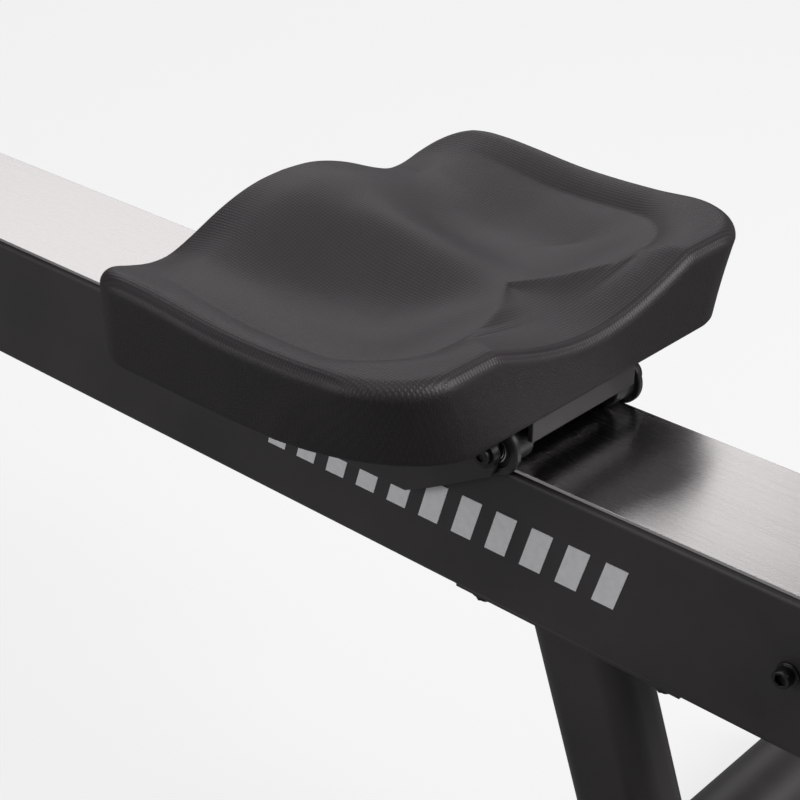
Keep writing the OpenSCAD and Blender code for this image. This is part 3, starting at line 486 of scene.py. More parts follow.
def makeSeat():
    s = seatShape
    low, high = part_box("seat_pad")
    mid = (low + high) / 2
    rim = seatOutline(s["round"], s["edgeCount"], s["topCorner"])
    side = seatOutline(0, s["edgeCount"], s["topCorner"])
    base = seatOutline(0, s["edgeCount"], s["footCorner"])
    crest = [seatTop(x, y) for x, y, nx, ny in rim]
    verts, marks = [], []
    for ring in range(1, s["ringCount"] + 1):
        share = ring / s["ringCount"]
        for x, y, nx, ny in rim:
            verts.append((x * share, y * share, seatTop(x * share, y * share)))
            marks.append(0.0)
    for step in range(1, s["roundSteps"] + 1):
        turn = math.radians(90 * step / s["roundSteps"])
        for (x, y, nx, ny), h in zip(rim, crest):
            out = s["round"] * math.sin(turn)
            verts.append((x + nx * out, y + ny * out, h - s["round"] * (1 - math.cos(turn))))
            marks.append(smoothStep(step / s["roundSteps"], 0.6, 0.95))
    foot = s["footRound"]
    for step in range(1, s["wallSteps"] + 1):
        t = step / s["wallSteps"]
        for (x, y, *_), (fx, fy, *_), h in zip(side, base, crest):
            top = h - s["round"]
            verts.append((x + (fx - x) * t, y + (fy - y) * t, top + (foot - top) * t))
            marks.append(1.0)
    for step in range(1, 5):
        turn = math.radians(90 * step / 4)
        for x, y, nx, ny in base:
            into = foot * (1 - math.cos(turn))
            verts.append((x - nx * into, y - ny * into, foot * (1 - math.sin(turn))))
            marks.append(1.0)
    loop = 4 * s["edgeCount"]
    rings = len(verts) // loop
    faces = []
    for ring in range(rings - 1):
        a, b = ring * loop, (ring + 1) * loop
        faces += [(a + i, b + i, b + (i + 1) % loop, a + (i + 1) % loop) for i in range(loop)]
    verts += [(0, 0, seatTop(0, 0)), (0, 0, 0)]
    marks += [0.0, 1.0]
    last = (rings - 1) * loop
    faces += [(i, (i + 1) % loop, len(verts) - 2) for i in range(loop)]
    faces += [(last + (i + 1) % loop, last + i, len(verts) - 1) for i in range(loop)]
    seat = meshObject("seatCushion", [(mid.x + x * mm, mid.y + y * mm, low.z + z * mm) for x, y, z in verts],
                      faces)
    seat.data.attributes.new("wallMark", "FLOAT", "POINT").data.foreach_set("value", marks)
    dress(seat, "seatFoam")
    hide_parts("seat_pad")
    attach(seat, "seat")
    return seat


seat = makeSeat()
print("seat:", len(seat.data.polygons), "faces")


def newTree(name, sockets):
    tree = bpy.data.node_groups.new(name, "GeometryNodeTree")
    tree.interface.new_socket("Geometry", in_out="INPUT", socket_type="NodeSocketGeometry")
    for label, kind, value in sockets:
        socket = tree.interface.new_socket(label, in_out="INPUT", socket_type=kind)
        if value is not None:
            socket.default_value = value
    tree.interface.new_socket("Finish", in_out="INPUT", socket_type="NodeSocketMaterial")
    tree.interface.new_socket("Geometry", in_out="OUTPUT", socket_type="NodeSocketGeometry")
    return tree, tree.nodes.new("NodeGroupInput").outputs


def endTree(tree, given, geometry):
    real = addNode(tree, "GeometryNodeRealizeInstances", {"Geometry": geometry})
    done = addNode(tree, "GeometryNodeSetMaterial", {"Geometry": real.outputs["Geometry"],
                                                     "Material": given["Finish"]})
    out = tree.nodes.new("NodeGroupOutput")
    tree.links.new(done.outputs["Geometry"], out.inputs["Geometry"])
    return tree


def partOf(tree, given):
    return addNode(tree, "GeometryNodeObjectInfo", {"Object": given["Part"]},
                   transform_space="ORIGINAL").outputs["Geometry"]


def placeTree():
    # a copy of the part on every point, its z axis along the point's aim
    tree, given = newTree("placeParts", [("Part", "NodeSocketObject", None)])
    aim = addNode(tree, "GeometryNodeInputNamedAttribute", {"Name": "aim"}, data_type="FLOAT_VECTOR")
    turn = addNode(tree, "FunctionNodeAlignRotationToVector", {"Vector": aim.outputs["Attribute"]}, axis="Z")
    copies = addNode(tree, "GeometryNodeInstanceOnPoints",
                     {"Points": given["Geometry"], "Instance": partOf(tree, given),
                      "Rotation": turn.outputs["Rotation"]})
    return endTree(tree, given, copies.outputs["Instances"])


def ringTree():
    # copies turned about an axis along y; points whose angle lies in the skipped arc are left out
    tree, given = newTree("ringOfParts", [
        ("Part", "NodeSocketObject", None), ("Count", "NodeSocketInt", 12),
        ("Centre", "NodeSocketVector", (0, 0, 0)),
        ("Start", "NodeSocketFloat", 0.0), ("Skip From", "NodeSocketFloat", 400.0),
        ("Skip To", "NodeSocketFloat", 401.0)])
    line = addNode(tree, "GeometryNodeMeshLine", {"Count": given["Count"], "Start Location": given["Centre"],
                                                  "Offset": (0, 0, 0)})
    step = addNode(tree, "ShaderNodeMath", {0: 360.0, 1: given["Count"]}, operation="DIVIDE")
    index = addNode(tree, "GeometryNodeInputIndex")
    turned = addNode(tree, "ShaderNodeMath", {0: index.outputs["Index"], 1: step.outputs["Value"],
                                              2: given["Start"]}, operation="MULTIPLY_ADD")
    after = addNode(tree, "FunctionNodeCompare", {0: turned.outputs["Value"], 1: given["Skip From"]},
                    operation="GREATER_THAN")
    before = addNode(tree, "FunctionNodeCompare", {0: turned.outputs["Value"], 1: given["Skip To"]},
                     operation="LESS_THAN")
    both = addNode(tree, "FunctionNodeBooleanMath", {0: after.outputs["Result"], 1: before.outputs["Result"]},
                   operation="NAND")
    angle = addNode(tree, "ShaderNodeMath", {0: turned.outputs["Value"]}, operation="RADIANS")
    lean = addNode(tree, "ShaderNodeMath", {0: angle.outputs["Value"], 1: -1.0}, operation="MULTIPLY")
    euler = addNode(tree, "ShaderNodeCombineXYZ", {"Y": lean.outputs["Value"]})
    copies = addNode(tree, "GeometryNodeInstanceOnPoints",
                     {"Points": line.outputs["Mesh"], "Selection": both.outputs["Boolean"],
                      "Instance": partOf(tree, given), "Rotation": euler.outputs["Vector"]})
    return endTree(tree, given, copies.outputs["Instances"])


def rowTree():
    # copies in a straight row
    tree, given = newTree("rowOfParts", [("Part", "NodeSocketObject", None), ("Count", "NodeSocketInt", 6),
                                         ("Start", "NodeSocketVector", (0, 0, 0)),
                                         ("Step", "NodeSocketVector", (0.01, 0, 0))])
    line = addNode(tree, "GeometryNodeMeshLine", {"Count": given["Count"], "Start Location": given["Start"],
                                                  "Offset": given["Step"]})
    copies = addNode(tree, "GeometryNodeInstanceOnPoints",
                     {"Points": line.outputs["Mesh"], "Instance": partOf(tree, given)})
    return endTree(tree, given, copies.outputs["Instances"])


def beadTree():
    # a rippled weld bead along a path
    tree, given = newTree("weldBead", [("Radius", "NodeSocketFloat", 0.0025),
                                       ("Ripple", "NodeSocketFloat", 0.0022),
                                       ("Depth", "NodeSocketFloat", 0.12)])
    path = addNode(tree, "GeometryNodeMeshToCurve", {"Mesh": given["Geometry"]})
    fine = addNode(tree, "GeometryNodeResampleCurve", {"Curve": path.outputs["Curve"], "Length": 0.0007},
                   mode="LENGTH")
    run = addNode(tree, "GeometryNodeSplineParameter")
    beat = addNode(tree, "ShaderNodeMath", {0: run.outputs["Length"], 1: given["Ripple"]}, operation="DIVIDE")
    angle = addNode(tree, "ShaderNodeMath", {0: beat.outputs["Value"], 1: 2 * math.pi}, operation="MULTIPLY")
    wave = addNode(tree, "ShaderNodeMath", {0: angle.outputs["Value"]}, operation="SINE")
    size = addNode(tree, "ShaderNodeMath", {0: wave.outputs["Value"], 1: given["Depth"], 2: 1.0},
                   operation="MULTIPLY_ADD")
    grown = addNode(tree, "ShaderNodeMath", {0: size.outputs["Value"], 1: given["Radius"]},
                    operation="MULTIPLY")
    shaped = addNode(tree, "GeometryNodeSetCurveRadius",
                     {"Curve": fine.outputs["Curve"], "Radius": grown.outputs["Value"]})
    ring = addNode(tree, "GeometryNodeCurvePrimitiveCircle", {"Resolution": 8, "Radius": 1.0})
    tube = addNode(tree, "GeometryNodeCurveToMesh", {"Curve": shaped.outputs["Curve"],
                                                     "Profile Curve": ring.outputs["Curve"], "Fill Caps": True})
    if "Scale" in tube.inputs:
        width = addNode(tree, "GeometryNodeInputNamedAttribute", {"Name": "radius"}, data_type="FLOAT")
        tree.links.new(width.outputs["Attribute"], tube.inputs["Scale"])
    return endTree(tree, given, tube.outputs["Mesh"])


trees = {"place": placeTree(), "ring": ringTree(), "row": rowTree(), "bead": beadTree()}
print("node trees built:", len(trees))


def bakeTree(name, kind, look, body, base=None, stands=(), **given):
    # runs a tree once and keeps the result as a plain mesh that rides on one body
    tree = trees[kind]
    holder = base or meshObject(name + "Base", [(0, 0, 0)], [])
    mod = holder.modifiers.new("shape", "NODES")
    mod.node_group = tree
    given["finish"] = looks[look]
    for item in tree.interface.items_tree:
        key = item.name[0].lower() + item.name[1:].replace(" ", "")
        if item.in_out == "INPUT" and key in given:
            mod[item.identifier] = given[key]
    bpy.context.view_layer.update()
    ready = holder.evaluated_get(bpy.context.evaluated_depsgraph_get())
    mesh = bpy.data.meshes.new_from_object(ready)
    mesh.name = name
    piece = bpy.data.objects.new(name, mesh)
    bpy.context.scene.collection.objects.link(piece)
    dress(piece, look)
    bpy.data.objects.remove(holder)
    if stands:
        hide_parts(*stands)
    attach(piece, body)
    return piece


def forget(*parts):
    for part in parts:
        bpy.data.objects.remove(part)


def aimedPoints(name, spots):
    # spots are pairs of a place and a direction
    base = meshObject(name, [place for place, aim in spots], [])
    aims = base.data.attributes.new("aim", "FLOAT_VECTOR", "POINT")
    aims.data.foreach_set("vector", [c for place, aim in spots for c in aim])
    return base


alongY = Matrix.Rotation(math.radians(-90), 4, "X")
againstY = Matrix.Rotation(math.radians(90), 4, "X")


def turned(name, profile, count=40, look=None):
    # a turned piece about z; a profile point is radius, height and, where it isn't round, "hex"
    verts, faces = [], []
    for point in profile:
        radius, height = point[0] * mm, point[1] * mm
        for i in range(count):
            angle = 2 * math.pi * i / count
            reach = radius
            if len(point) > 2:
                reach = radius / math.cos((angle + math.pi / 6) % (math.pi / 3) - math.pi / 6)
            verts.append((reach * math.cos(angle), reach * math.sin(angle), height))
    for k in range(len(profile) - 1):
        for i in range(count):
            j = (i + 1) % count
            faces.append((k * count + i, k * count + j, (k + 1) * count + j, (k + 1) * count + i))
    faces.append(tuple(reversed(range(count))))
    faces.append(tuple(range((len(profile) - 1) * count, len(profile) * count)))
    obj = tidyNormals(meshObject(name, verts, faces))
    markSharp(obj)
    return dress(obj, look) if look else obj


def hollowTurned(name, loop, count=48, look=None):
    # a ring about z from a closed loop of radius and height
    verts, faces = [], []
    for radius, height in loop:
        for i in range(count):
            angle = 2 * math.pi * i / count
            verts.append((radius * mm * math.cos(angle), radius * mm * math.sin(angle), height * mm))
    for k in range(len(loop)):
        for i in range(count):
            j, n = (i + 1) % count, (k + 1) % len(loop)
            faces.append((k * count + i, k * count + j, n * count + j, n * count + i))
    obj = tidyNormals(meshObject(name, verts, faces))
    markSharp(obj)
    return dress(obj, look) if look else obj


def markSharp(obj, angle=35):
    work = bmesh.new()
    work.from_mesh(obj.data)
    for edge in work.edges:
        if len(edge.link_faces) == 2 and edge.calc_face_angle(0) > math.radians(angle):
            edge.smooth = False
    work.to_mesh(obj.data)
    work.free()


def block(name, low, high, bevel=0.0, look=None):
    # a block with rounded edges, in metres
    low, high = Vector(low), Vector(high)
    work = bmesh.new()
    bmesh.ops.create_cube(work, size=1)
    place = Matrix.Translation((low + high) / 2) @ Matrix.Diagonal(((high - low)[:] + (1,)))
    bmesh.ops.transform(work, matrix=place, verts=work.verts)
    if bevel:
        bmesh.ops.bevel(work, geom=work.edges[:], offset=bevel, segments=3, profile=0.6, affect="EDGES")
    mesh = bpy.data.meshes.new(name)
    work.to_mesh(mesh)
    work.free()
    mesh.polygons.foreach_set("use_smooth", [True] * len(mesh.polygons))
    obj = bpy.data.objects.new(name, mesh)
    bpy.context.scene.collection.objects.link(obj)
    markSharp(obj, 50)
    return dress(obj, look) if look else obj


def sweptBar(name, points, halfWide, halfThick, side, look=None):
    # a bar of rectangular section with cut corners along points; side is the direction of its width
    verts, faces = [], []
    shape = [(1, .6), (.6, 1), (-.6, 1), (-1, .6), (-1, -.6), (-.6, -1), (.6, -1), (1, -.6)]
    side = Vector(side).normalized()
    for i, point in enumerate(points):
        run = Vector(points[min(i + 1, len(points) - 1)]) - Vector(points[max(i - 1, 0)])
        up = run.cross(side).normalized()
        for a, b in shape:
            verts.append(Vector(point) + side * halfWide * a + up * halfThick * b)
    n = len(shape)
    for k in range(len(points) - 1):
        for i in range(n):
            j = (i + 1) % n
            faces.append((k * n + i, (k + 1) * n + i, (k + 1) * n + j, k * n + j))
    faces.append(tuple(range(n)))
    faces.append(tuple(reversed(range((len(points) - 1) * n, len(points) * n))))
    obj = tidyNormals(meshObject(name, verts, faces))
    return dress(obj, look) if look else obj


def joined(name, *parts):
    # one object from several, with their places kept
    work = bmesh.new()
    for part in parts:
        work.from_mesh(part.data)
    mesh = bpy.data.meshes.new(name)
    work.to_mesh(mesh)
    work.free()
    mats = list(parts[0].data.materials)
    obj = bpy.data.objects.new(name, mesh)
    for mat in mats:
        mesh.materials.append(mat)
    bpy.context.scene.collection.objects.link(obj)
    forget(*parts)
    return obj


def socketScrew(name, size, height, recess):
    return turned(name, [(0.1, 0), (size * 0.96, 0), (size, height * 0.06), (size, height * 0.88),
                         (size * 0.9, height),
                         (recess * 1.25, height), (recess, height * 0.97, "hex"),
                         (recess, height * 0.45, "hex"), (0.1, height * 0.35)], 36, "blackSteel")


def domedNut(name, size, height):
    # washer, hexagon and dome
    return turned(name, [(0.1, 0), (size * 1.3, 0), (size * 1.32, 0.5), (size * 1.25, 1.5), (size * 0.8, 1.6),
                         (size * 0.86, 1.7, "hex"), (size * 0.87, 2.2, "hex"),
                         (size * 0.87, 4.6, "hex"), (size * 0.8, 5.1), (size * 0.72, 5.3),
                         (size * 0.66, height * 0.75), (size * 0.45, height * 0.93),
                         (size * 0.2, height * 0.99), (0.1, height)], 36, "blackSteel")


railSizes = {"legLean": 19, "screwInset": 6, "screwSize": 5.0, "screwHeight": 6.2, "recess": 2.9, "washer": 6.2,
             "nutSize": 6.5, "nutHeight": 7.6, "bead": 2.2}


def sideScrews():
    s = railSizes
    low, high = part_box("rail_side_screws")
    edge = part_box("rail_beam")[1].y
    inset = s["screwInset"] * mm
    z = (low.z + high.z) / 2
    spots = [((x, side * edge, z), (0, side, 0)) for x in (low.x + inset, high.x - inset) for side in (-1, 1)]
    washer = turned("washer", [(0.1, 0), (s["washer"], 0), (s["washer"], 1.2), (s["washer"] - 0.5, 1.6),
                               (0.1, 1.6)], 32, "blackSteel")
    screw = movePoints(socketScrew("screw", s["screwSize"], s["screwHeight"], s["recess"]),
                       Matrix.Translation((0, 0, 1.6 * mm)))
    part = joined("screwSet", washer, screw)
    bakeTree("sideScrewSet", "place", "blackSteel", "root", aimedPoints("screwSpots", spots),
             ["rail_side_screws"], part=part)
    forget(part)


def legBolts():
    s = railSizes
    low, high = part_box("rear_leg_bolts")
    r = 8.5 * mm
    spots = [((x, y, high.z), (0, 0, -1)) for x in (low.x + r, high.x - r) for y in (low.y + r, high.y - r)]
    nut = domedNut("nut", s["nutSize"], s["nutHeight"])
    bakeTree("legBoltSet", "place", "blackSteel", "root", aimedPoints("boltSpots", spots), ["rear_leg_bolts"],
             part=nut)
    forget(nut)


def bead(name, points, radius, closed=True):
    # a weld bead through points, in metres
    edges = [(i, i + 1) for i in range(len(points) - 1)] + ([(len(points) - 1, 0)] if closed else [])
    mesh = bpy.data.meshes.new(name + "Path")
    mesh.from_pydata([tuple(p) for p in points], edges, [])
    base = bpy.data.objects.new(name + "Path", mesh)
    bpy.context.scene.collection.objects.link(base)
    return bakeTree(name, "bead", "weldBead", "root", base, radius=radius * mm)


def roundedLoop(halfX, halfY, corner, steps=6):
    out = []
    for cx, cy, start in ((1, 1, 0), (-1, 1, 90), (-1, -1, 180), (1, -1, 270)):
        for k in range(steps + 1):
            angle = math.radians(start + 90 * k / steps)
            out.append((cx * (halfX - corner) + corner * math.cos(angle),
                        cy * (halfY - corner) + corner * math.sin(angle)))
    return out


def standWelds():
    # round the leg under its flange, and round the mast and the spine where they meet
    footLow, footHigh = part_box("rear_foot_bar")
    footX, footZ = (footLow.x + footHigh.x) / 2, (footLow.z + footHigh.z) / 2
    lean = math.radians(railSizes["legLean"])
    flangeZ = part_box("rear_leg_bolts")[1].z
    legX = footX - (flangeZ - footZ) * math.tan(lean)
    loop = roundedLoop(0.030 / math.cos(lean), 0.020, 0.015)
    bead("legTopBead", [(legX + x, y, flangeZ - 0.001) for x, y in loop], railSizes["bead"])
    foot = []
    for x, y in roundedLoop(0.030, 0.020, 0.015, 8):
        reach = math.sqrt(max(0.030 ** 2 - x * x, 0.00001))
        foot.append((footX + x * math.cos(lean) - reach * math.sin(lean), y,
                     footZ + reach * math.cos(lean) + x * math.sin(lean)))
    bead("legFootBead", foot, railSizes["bead"])
    mastLow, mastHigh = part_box("mast")
    mastX = (mastLow.x + mastHigh.x) / 2
    top = []
    rise = spineRise()
    for x, y in roundedLoop((mastHigh.x - mastLow.x) / 2, (mastHigh.y - mastLow.y) / 2, 0.006):
        top.append((mastX + x, y, rise(mastX + x) + 0.0005))
    bead("mastBead", top, railSizes["bead"])
    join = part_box("rail_beam")[0].x - 0.008
    loop = roundedLoop(0.050, 0.031, 0.004)
    middle = rise(join) - 0.031
    bead("spineBead", [(join - 0.001, y, middle + z) for y, z in loop], railSizes["bead"])


def spineRise():
    # height of the spine's upper face at any x, from the feet to the rail
    frontLow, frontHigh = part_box("front_foot_bar")
    beamLow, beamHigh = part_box("rail_beam")
    x0, z0 = (frontLow.x + frontHigh.x) / 2, (frontLow.z + frontHigh.z) / 2
    x1, z1 = beamLow.x - 0.008, (beamLow.z + beamHigh.z) / 2
    slope = (z1 - z0) / (x1 - x0)
    lift = 0.031 * math.hypot(1, slope)
    return lambda x: z0 + (x - x0) * slope + lift


capSizes = {"corner": 5}


def railCap():
    # a moulded cap with a crowned face
    s = capSizes
    low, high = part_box("rail_end_cap")
    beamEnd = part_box("rail_beam")[1].x
    mid = (low + high) / 2
    rings = []
    for step in range(7):
        t = step / 6
        inset = s["corner"] * 0.7 * (1 - math.cos(t * math.pi / 2))
        rings.append((beamEnd + (high.x - beamEnd) * math.sin(t * math.pi / 2) * 0.85, inset))
    rings.append((high.x - 0.0004, 14))
    rings.append((high.x, 34))
    verts, faces = [], []
    for x, inset in rings:
        for y, z in roundedLoop((high.y - low.y) / 2 - inset * mm, (high.z - low.z) / 2 - inset * mm,
                                max(0.006 - inset * mm * 0.2, 0.003)):
            verts.append((x, y, mid.z + z))
    n = len(roundedLoop(1, 1, 0.1))
    for k in range(len(rings) - 1):
        faces += [(k * n + i, k * n + (i + 1) % n, (k + 1) * n + (i + 1) % n,
                   (k + 1) * n + i) for i in range(n)]
    faces += [tuple(reversed(range(n))), tuple(range((len(rings) - 1) * n, len(rings) * n))]
    cap = tidyNormals(meshObject("railCap", verts, faces))
    markSharp(cap, 50)
    dress(cap, "blackPlastic")
    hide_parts("rail_end_cap")
    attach(cap, "root")


sideScrews()
legBolts()
standWelds()
railCap()
print("rail and rear stand done")


wheelSizes = {"tread": 11.2, "flange": 15.0, "bore": 5.3, "treadWide": 15, "flangeWide": 4}


def seatWheel(end, side):
    s = wheelSizes
    low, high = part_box(f"wheel_{end}_{side}")
    mid = (low + high) / 2
    profile = [(s["bore"], 0.6), (8.4, 0), (9.4, 0.0), (s["tread"] - 0.8, 0.15), (s["tread"], 1.0),
               (s["tread"], s["treadWide"] - 1.0), (s["tread"] + 0.5, s["treadWide"] - 0.3),
               (s["flange"] - 0.6, s["treadWide"]), (s["flange"], s["treadWide"] + 0.7),
               (s["flange"], s["treadWide"] + s["flangeWide"] - 0.9),
               (s["flange"] - 0.8, s["treadWide"] + s["flangeWide"]), (10.6, s["treadWide"] + s["flangeWide"]),
               (10.2, s["treadWide"] + s["flangeWide"] - 0.8),
               (8.0, s["treadWide"] + s["flangeWide"] - 0.9), (7.7, s["treadWide"] + s["flangeWide"] - 0.2),
               (s["bore"], s["treadWide"] + s["flangeWide"] - 0.2)]
    wheel = hollowTurned(f"seatWheel_{end}_{side}", profile, 64, "wheelNylon")
    outward = 1 if mid.y > 0 else -1
    turn = Matrix.Rotation(math.radians(-90 * outward), 4, "X")
    inner = low.y if outward > 0 else high.y
    movePoints(wheel, Matrix.Translation((mid.x, inner, mid.z)) @ turn)
    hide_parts(f"wheel_{end}_{side}")
    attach(wheel, f"wheel_{end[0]}{side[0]}")
    # the bearing's shield
    shield = hollowTurned(f"bearingShield_{end}_{side}",
                          [(5.4, 0), (7.6, 0), (7.6, 0.5), (7.0, 0.7), (6.2, 0.45), (5.6, 0.7), (5.4, 0.6)], 40,
                          "bearingSteel")
    outward = Matrix.Translation((0, 0, (s["treadWide"] + s["flangeWide"] - 0.7) * mm))
    movePoints(shield, Matrix.Translation((mid.x, inner, mid.z)) @ turn @ outward)
    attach(shield, f"wheel_{end[0]}{side[0]}")


def axleEnds():
    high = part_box("seat_axles")[1]
    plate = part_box("seat_plate")
    wheels = [sum(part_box(f"wheel_{end}_left"), Vector()) / 2 for end in ("front", "rear")]
    spots = [((wheel.x, side * high.y, wheel.z), (0, side, 0)) for wheel in wheels for side in (-1, 1)]
    screw = socketScrew("axleScrew", 5.2, 2.6, 2.5)
    bakeTree("axleScrewSet", "place", "blackSteel", "seat", aimedPoints("axleSpots", spots), part=screw)
    forget(screw)
    # screws that hold the seat to its plate, seen from below
    mid = (plate[0] + plate[1]) / 2
    head = plate[1].z - 0.003
    spots = [((mid.x + dx, dy, head), (0, 0, -1)) for dx in (-0.055, 0.055) for dy in (-0.036, 0.036)]
    screw = socketScrew("seatScrew", 5.5, 3.4, 2.5)
    bakeTree("seatScrewSet", "place", "blackSteel", "seat", aimedPoints("seatScrewSpots", spots), part=screw)
    forget(screw)


for end in ("front", "rear"):
    for side in ("left", "right"):
        seatWheel(end, side)
axleEnds()
print("carriage done")


fanSizes = {"bladeCount": 24, "bladeIn": 60, "bladeOut": 247, "bladeWide": 42, "bladeThick": 0.8, "sweep": 26,
            "slatCount": 96, "wire": 2.2, "grilleBars": 60, "domed": 9,
            "barsFrom": 36, "rimInset": 8, "hoops": (40, 96, 152, 206, 252), "forkArc": (238.0, 425.0),
            "beltArc": (62.0, 400.0)}


def nodeMiddle(name):
    low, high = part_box(name)
    return (low + high) / 2


fanPlace = nodeMiddle("fan_shaft")


def fanWheel():
    s = fanSizes
    # one swept blade, repeated round the hub
    points = []
    for k in range(15):
        t = k / 14
        reach = s["bladeIn"] + (s["bladeOut"] - s["bladeIn"]) * t
        turn = math.radians(-s["sweep"] * t * t)
        points.append((reach * mm * math.cos(turn), 0, reach * mm * math.sin(turn)))
    blade = sweptBar("blade", points, s["bladeWide"] * mm, s["bladeThick"] * mm, (0, 1, 0))
    bakeTree("fanBlades", "ring", "fanAluminium", "fan", None, ["fan_rotor"], part=blade, count=s["bladeCount"],
             centre=(fanPlace.x, 0, fanPlace.z))
    forget(blade)
    hub = hollowTurned("fanHub", [(9, -39), (26, -39), (30, -36), (30, -14), (34, -9), (62, -2.2), (150, -1.2),
                                  (244, -1.2), (247, -2.6), (248, -2.6), (248, 2.6), (247, 2.6),
                                 (244, 1.2), (150, 1.2), (62, 2.2), (34, 9), (30, 14), (30, 36), (26, 39),
                                 (9, 39)], 96, "fanAluminium")
    movePoints(hub, Matrix.Translation((fanPlace.x, 0, fanPlace.z)) @ alongY)
    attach(hub, "fan")
    rivet = turned("rivet", [(0.1, 1.1), (3.4, 1.1), (3.4, 1.5), (2.8, 2.4), (1.5, 2.9), (0.1, 3.0)], 14)
    movePoints(rivet, Matrix.Translation((0.075, 0, 0)) @ againstY)
    bakeTree("bladeRivets", "ring", "bearingSteel", "fan", part=rivet, count=s["bladeCount"],
             centre=(fanPlace.x, 0, fanPlace.z), start=3.0)
    forget(rivet)


def hoop(name, radius, y, wire, look="blackPowder"):
    angles = [math.radians(45 * k) for k in range(8)]
    loop = [(radius + wire * math.cos(a), y / mm + wire * math.sin(a)) for a in angles]
    piece = hollowTurned(name, loop, 120, look)
    movePoints(piece, Matrix.Translation((fanPlace.x, 0, fanPlace.z)) @ alongY)
    return piece


def cage():
    s = fanSizes
    low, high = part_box("cage_band")
    side = (high.y - low.y) / 2
    outer = (high.z - low.z) / 2 / mm
    centre = (fanPlace.x, 0, fanPlace.z)
    # slats across the band: whole ones, and short ones where the belt passes; none where the fork comes up
    slat = block("slat", ((outer - 5.5) * mm, -side + 0.001, -0.0016),
                 ((outer - 0.6) * mm, side - 0.001, 0.0016), 0.0008)
    bakeTree("cageSlats", "ring", "blackPowder", "root", None, ["cage_band"], part=slat, count=s["slatCount"],
             centre=centre, start=62.0, skipFrom=s["forkArc"][0], skipTo=s["forkArc"][1])
    forget(slat)
    short = block("slat", ((outer - 5.5) * mm, -side + 0.001, -0.0016), ((outer - 0.6) * mm, 0.056, 0.0016),
                  0.0008)
    bakeTree("cageShortSlats", "ring", "blackPowder", "root", None, part=short, count=s["slatCount"],
             centre=centre, start=-45.0, skipFrom=s["beltArc"][0], skipTo=s["beltArc"][1])
    forget(short)
    rings = [hoop("hoop", outer - 3, y, 2.8) for y in (-side + 0.003, -side * 0.33, side * 0.33)]
    for ring in rings:
        # the hoops stop where the fork comes up
        work = bmesh.new()
        work.from_mesh(ring.data)
        gone = [v for v in work.verts if v.co.z < fanPlace.z - 0.15 and -0.05 < v.co.x - fanPlace.x < 0.115]
        bmesh.ops.delete(work, geom=gone, context="VERTS")
        bmesh.ops.holes_fill(work, edges=[e for e in work.edges if e.is_boundary], sides=12)
        work.to_mesh(ring.data)
        work.free()
    hoops = joined("cageHoops", *rings)
    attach(hoops, "root")
    for name, sign, hubSize, bore, boss in (("left", -1, 22, 9.5, 9), ("right", 1, 30, 10, 4)):
        low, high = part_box(f"cage_{name}")
        face = (-low.y if sign < 0 else high.y) / mm - boss
        rim = side / mm
        # each bar runs in from the rim and domes outwards
        points = []
        span = outer - s["rimInset"] - s["barsFrom"]
        for k in range(13):
            t = k / 12
            points.append(((s["barsFrom"] + span * t) * mm, sign * (face - 2 - s["domed"] * t ** 3) * mm, 0))
        bar = sweptBar("bar", points, s["wire"] * mm * 0.5, s["wire"] * mm * 0.5, (0, 0, 1))
        bakeTree(f"grilleBars_{name}", "ring", "blackPowder", "root", None, [f"cage_{name}"], part=bar,
                 count=s["grilleBars"], centre=centre)
        forget(bar)
        parts = []
        for radius in s["hoops"]:
            t = (radius - s["barsFrom"]) / span
            parts.append(hoop("hoop", radius, sign * (face - 4 - s["domed"] * t ** 3) * mm,
                              s["wire"] * 0.75))
        parts.append(hollow("rim", [(outer - 12, rim), (outer - 1.5, rim), (outer, rim + 1.5), (outer, rim + 9),
                                    (outer - 3, rim + 12.5), (outer - 8, rim + 13.6), (outer - 12, rim + 12)],
                            sign))
        parts.append(hollow("hub", [(bore, face - 4), (42, face - 4), (44, face - 2.5), (43, face - 0.6),
                                    (hubSize + 2, face - 0.2), (hubSize, face + 1), (hubSize, face + boss - 1),
                                    (hubSize - 1.2, face + boss), (bore, face + boss)], sign))
        frameRing = joined(f"grilleRings_{name}", *parts)
        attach(frameRing, "root")


def hollow(name, loop, sign):
    piece = hollowTurned(name, loop, 96, "blackPowder")
    turn = alongY if sign > 0 else againstY
    return movePoints(piece, Matrix.Translation((fanPlace.x, 0, fanPlace.z)) @ turn)


def damperRing():
    # raised marks round the shutter ring
    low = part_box("damper")[0]
    mark = block("mark", (0.096, low.y + 0.0174, -0.0012), (0.108, low.y + 0.0222, 0.0012), 0.0004)
    bakeTree("damperMarks", "ring", "silverPrint", "damper", part=mark, count=10,
             centre=(fanPlace.x, 0, fanPlace.z), skipFrom=40.0, skipTo=84.0)
    forget(mark)


fanWheel()
cage()
damperRing()
print("fan and cage done")


driveSizes = {"screwSize": 4.2, "screwHeight": 2.6, "ventCount": 4, "ventStep": 8.5, "webThick": 2.6,
              "gripRibs": 30}


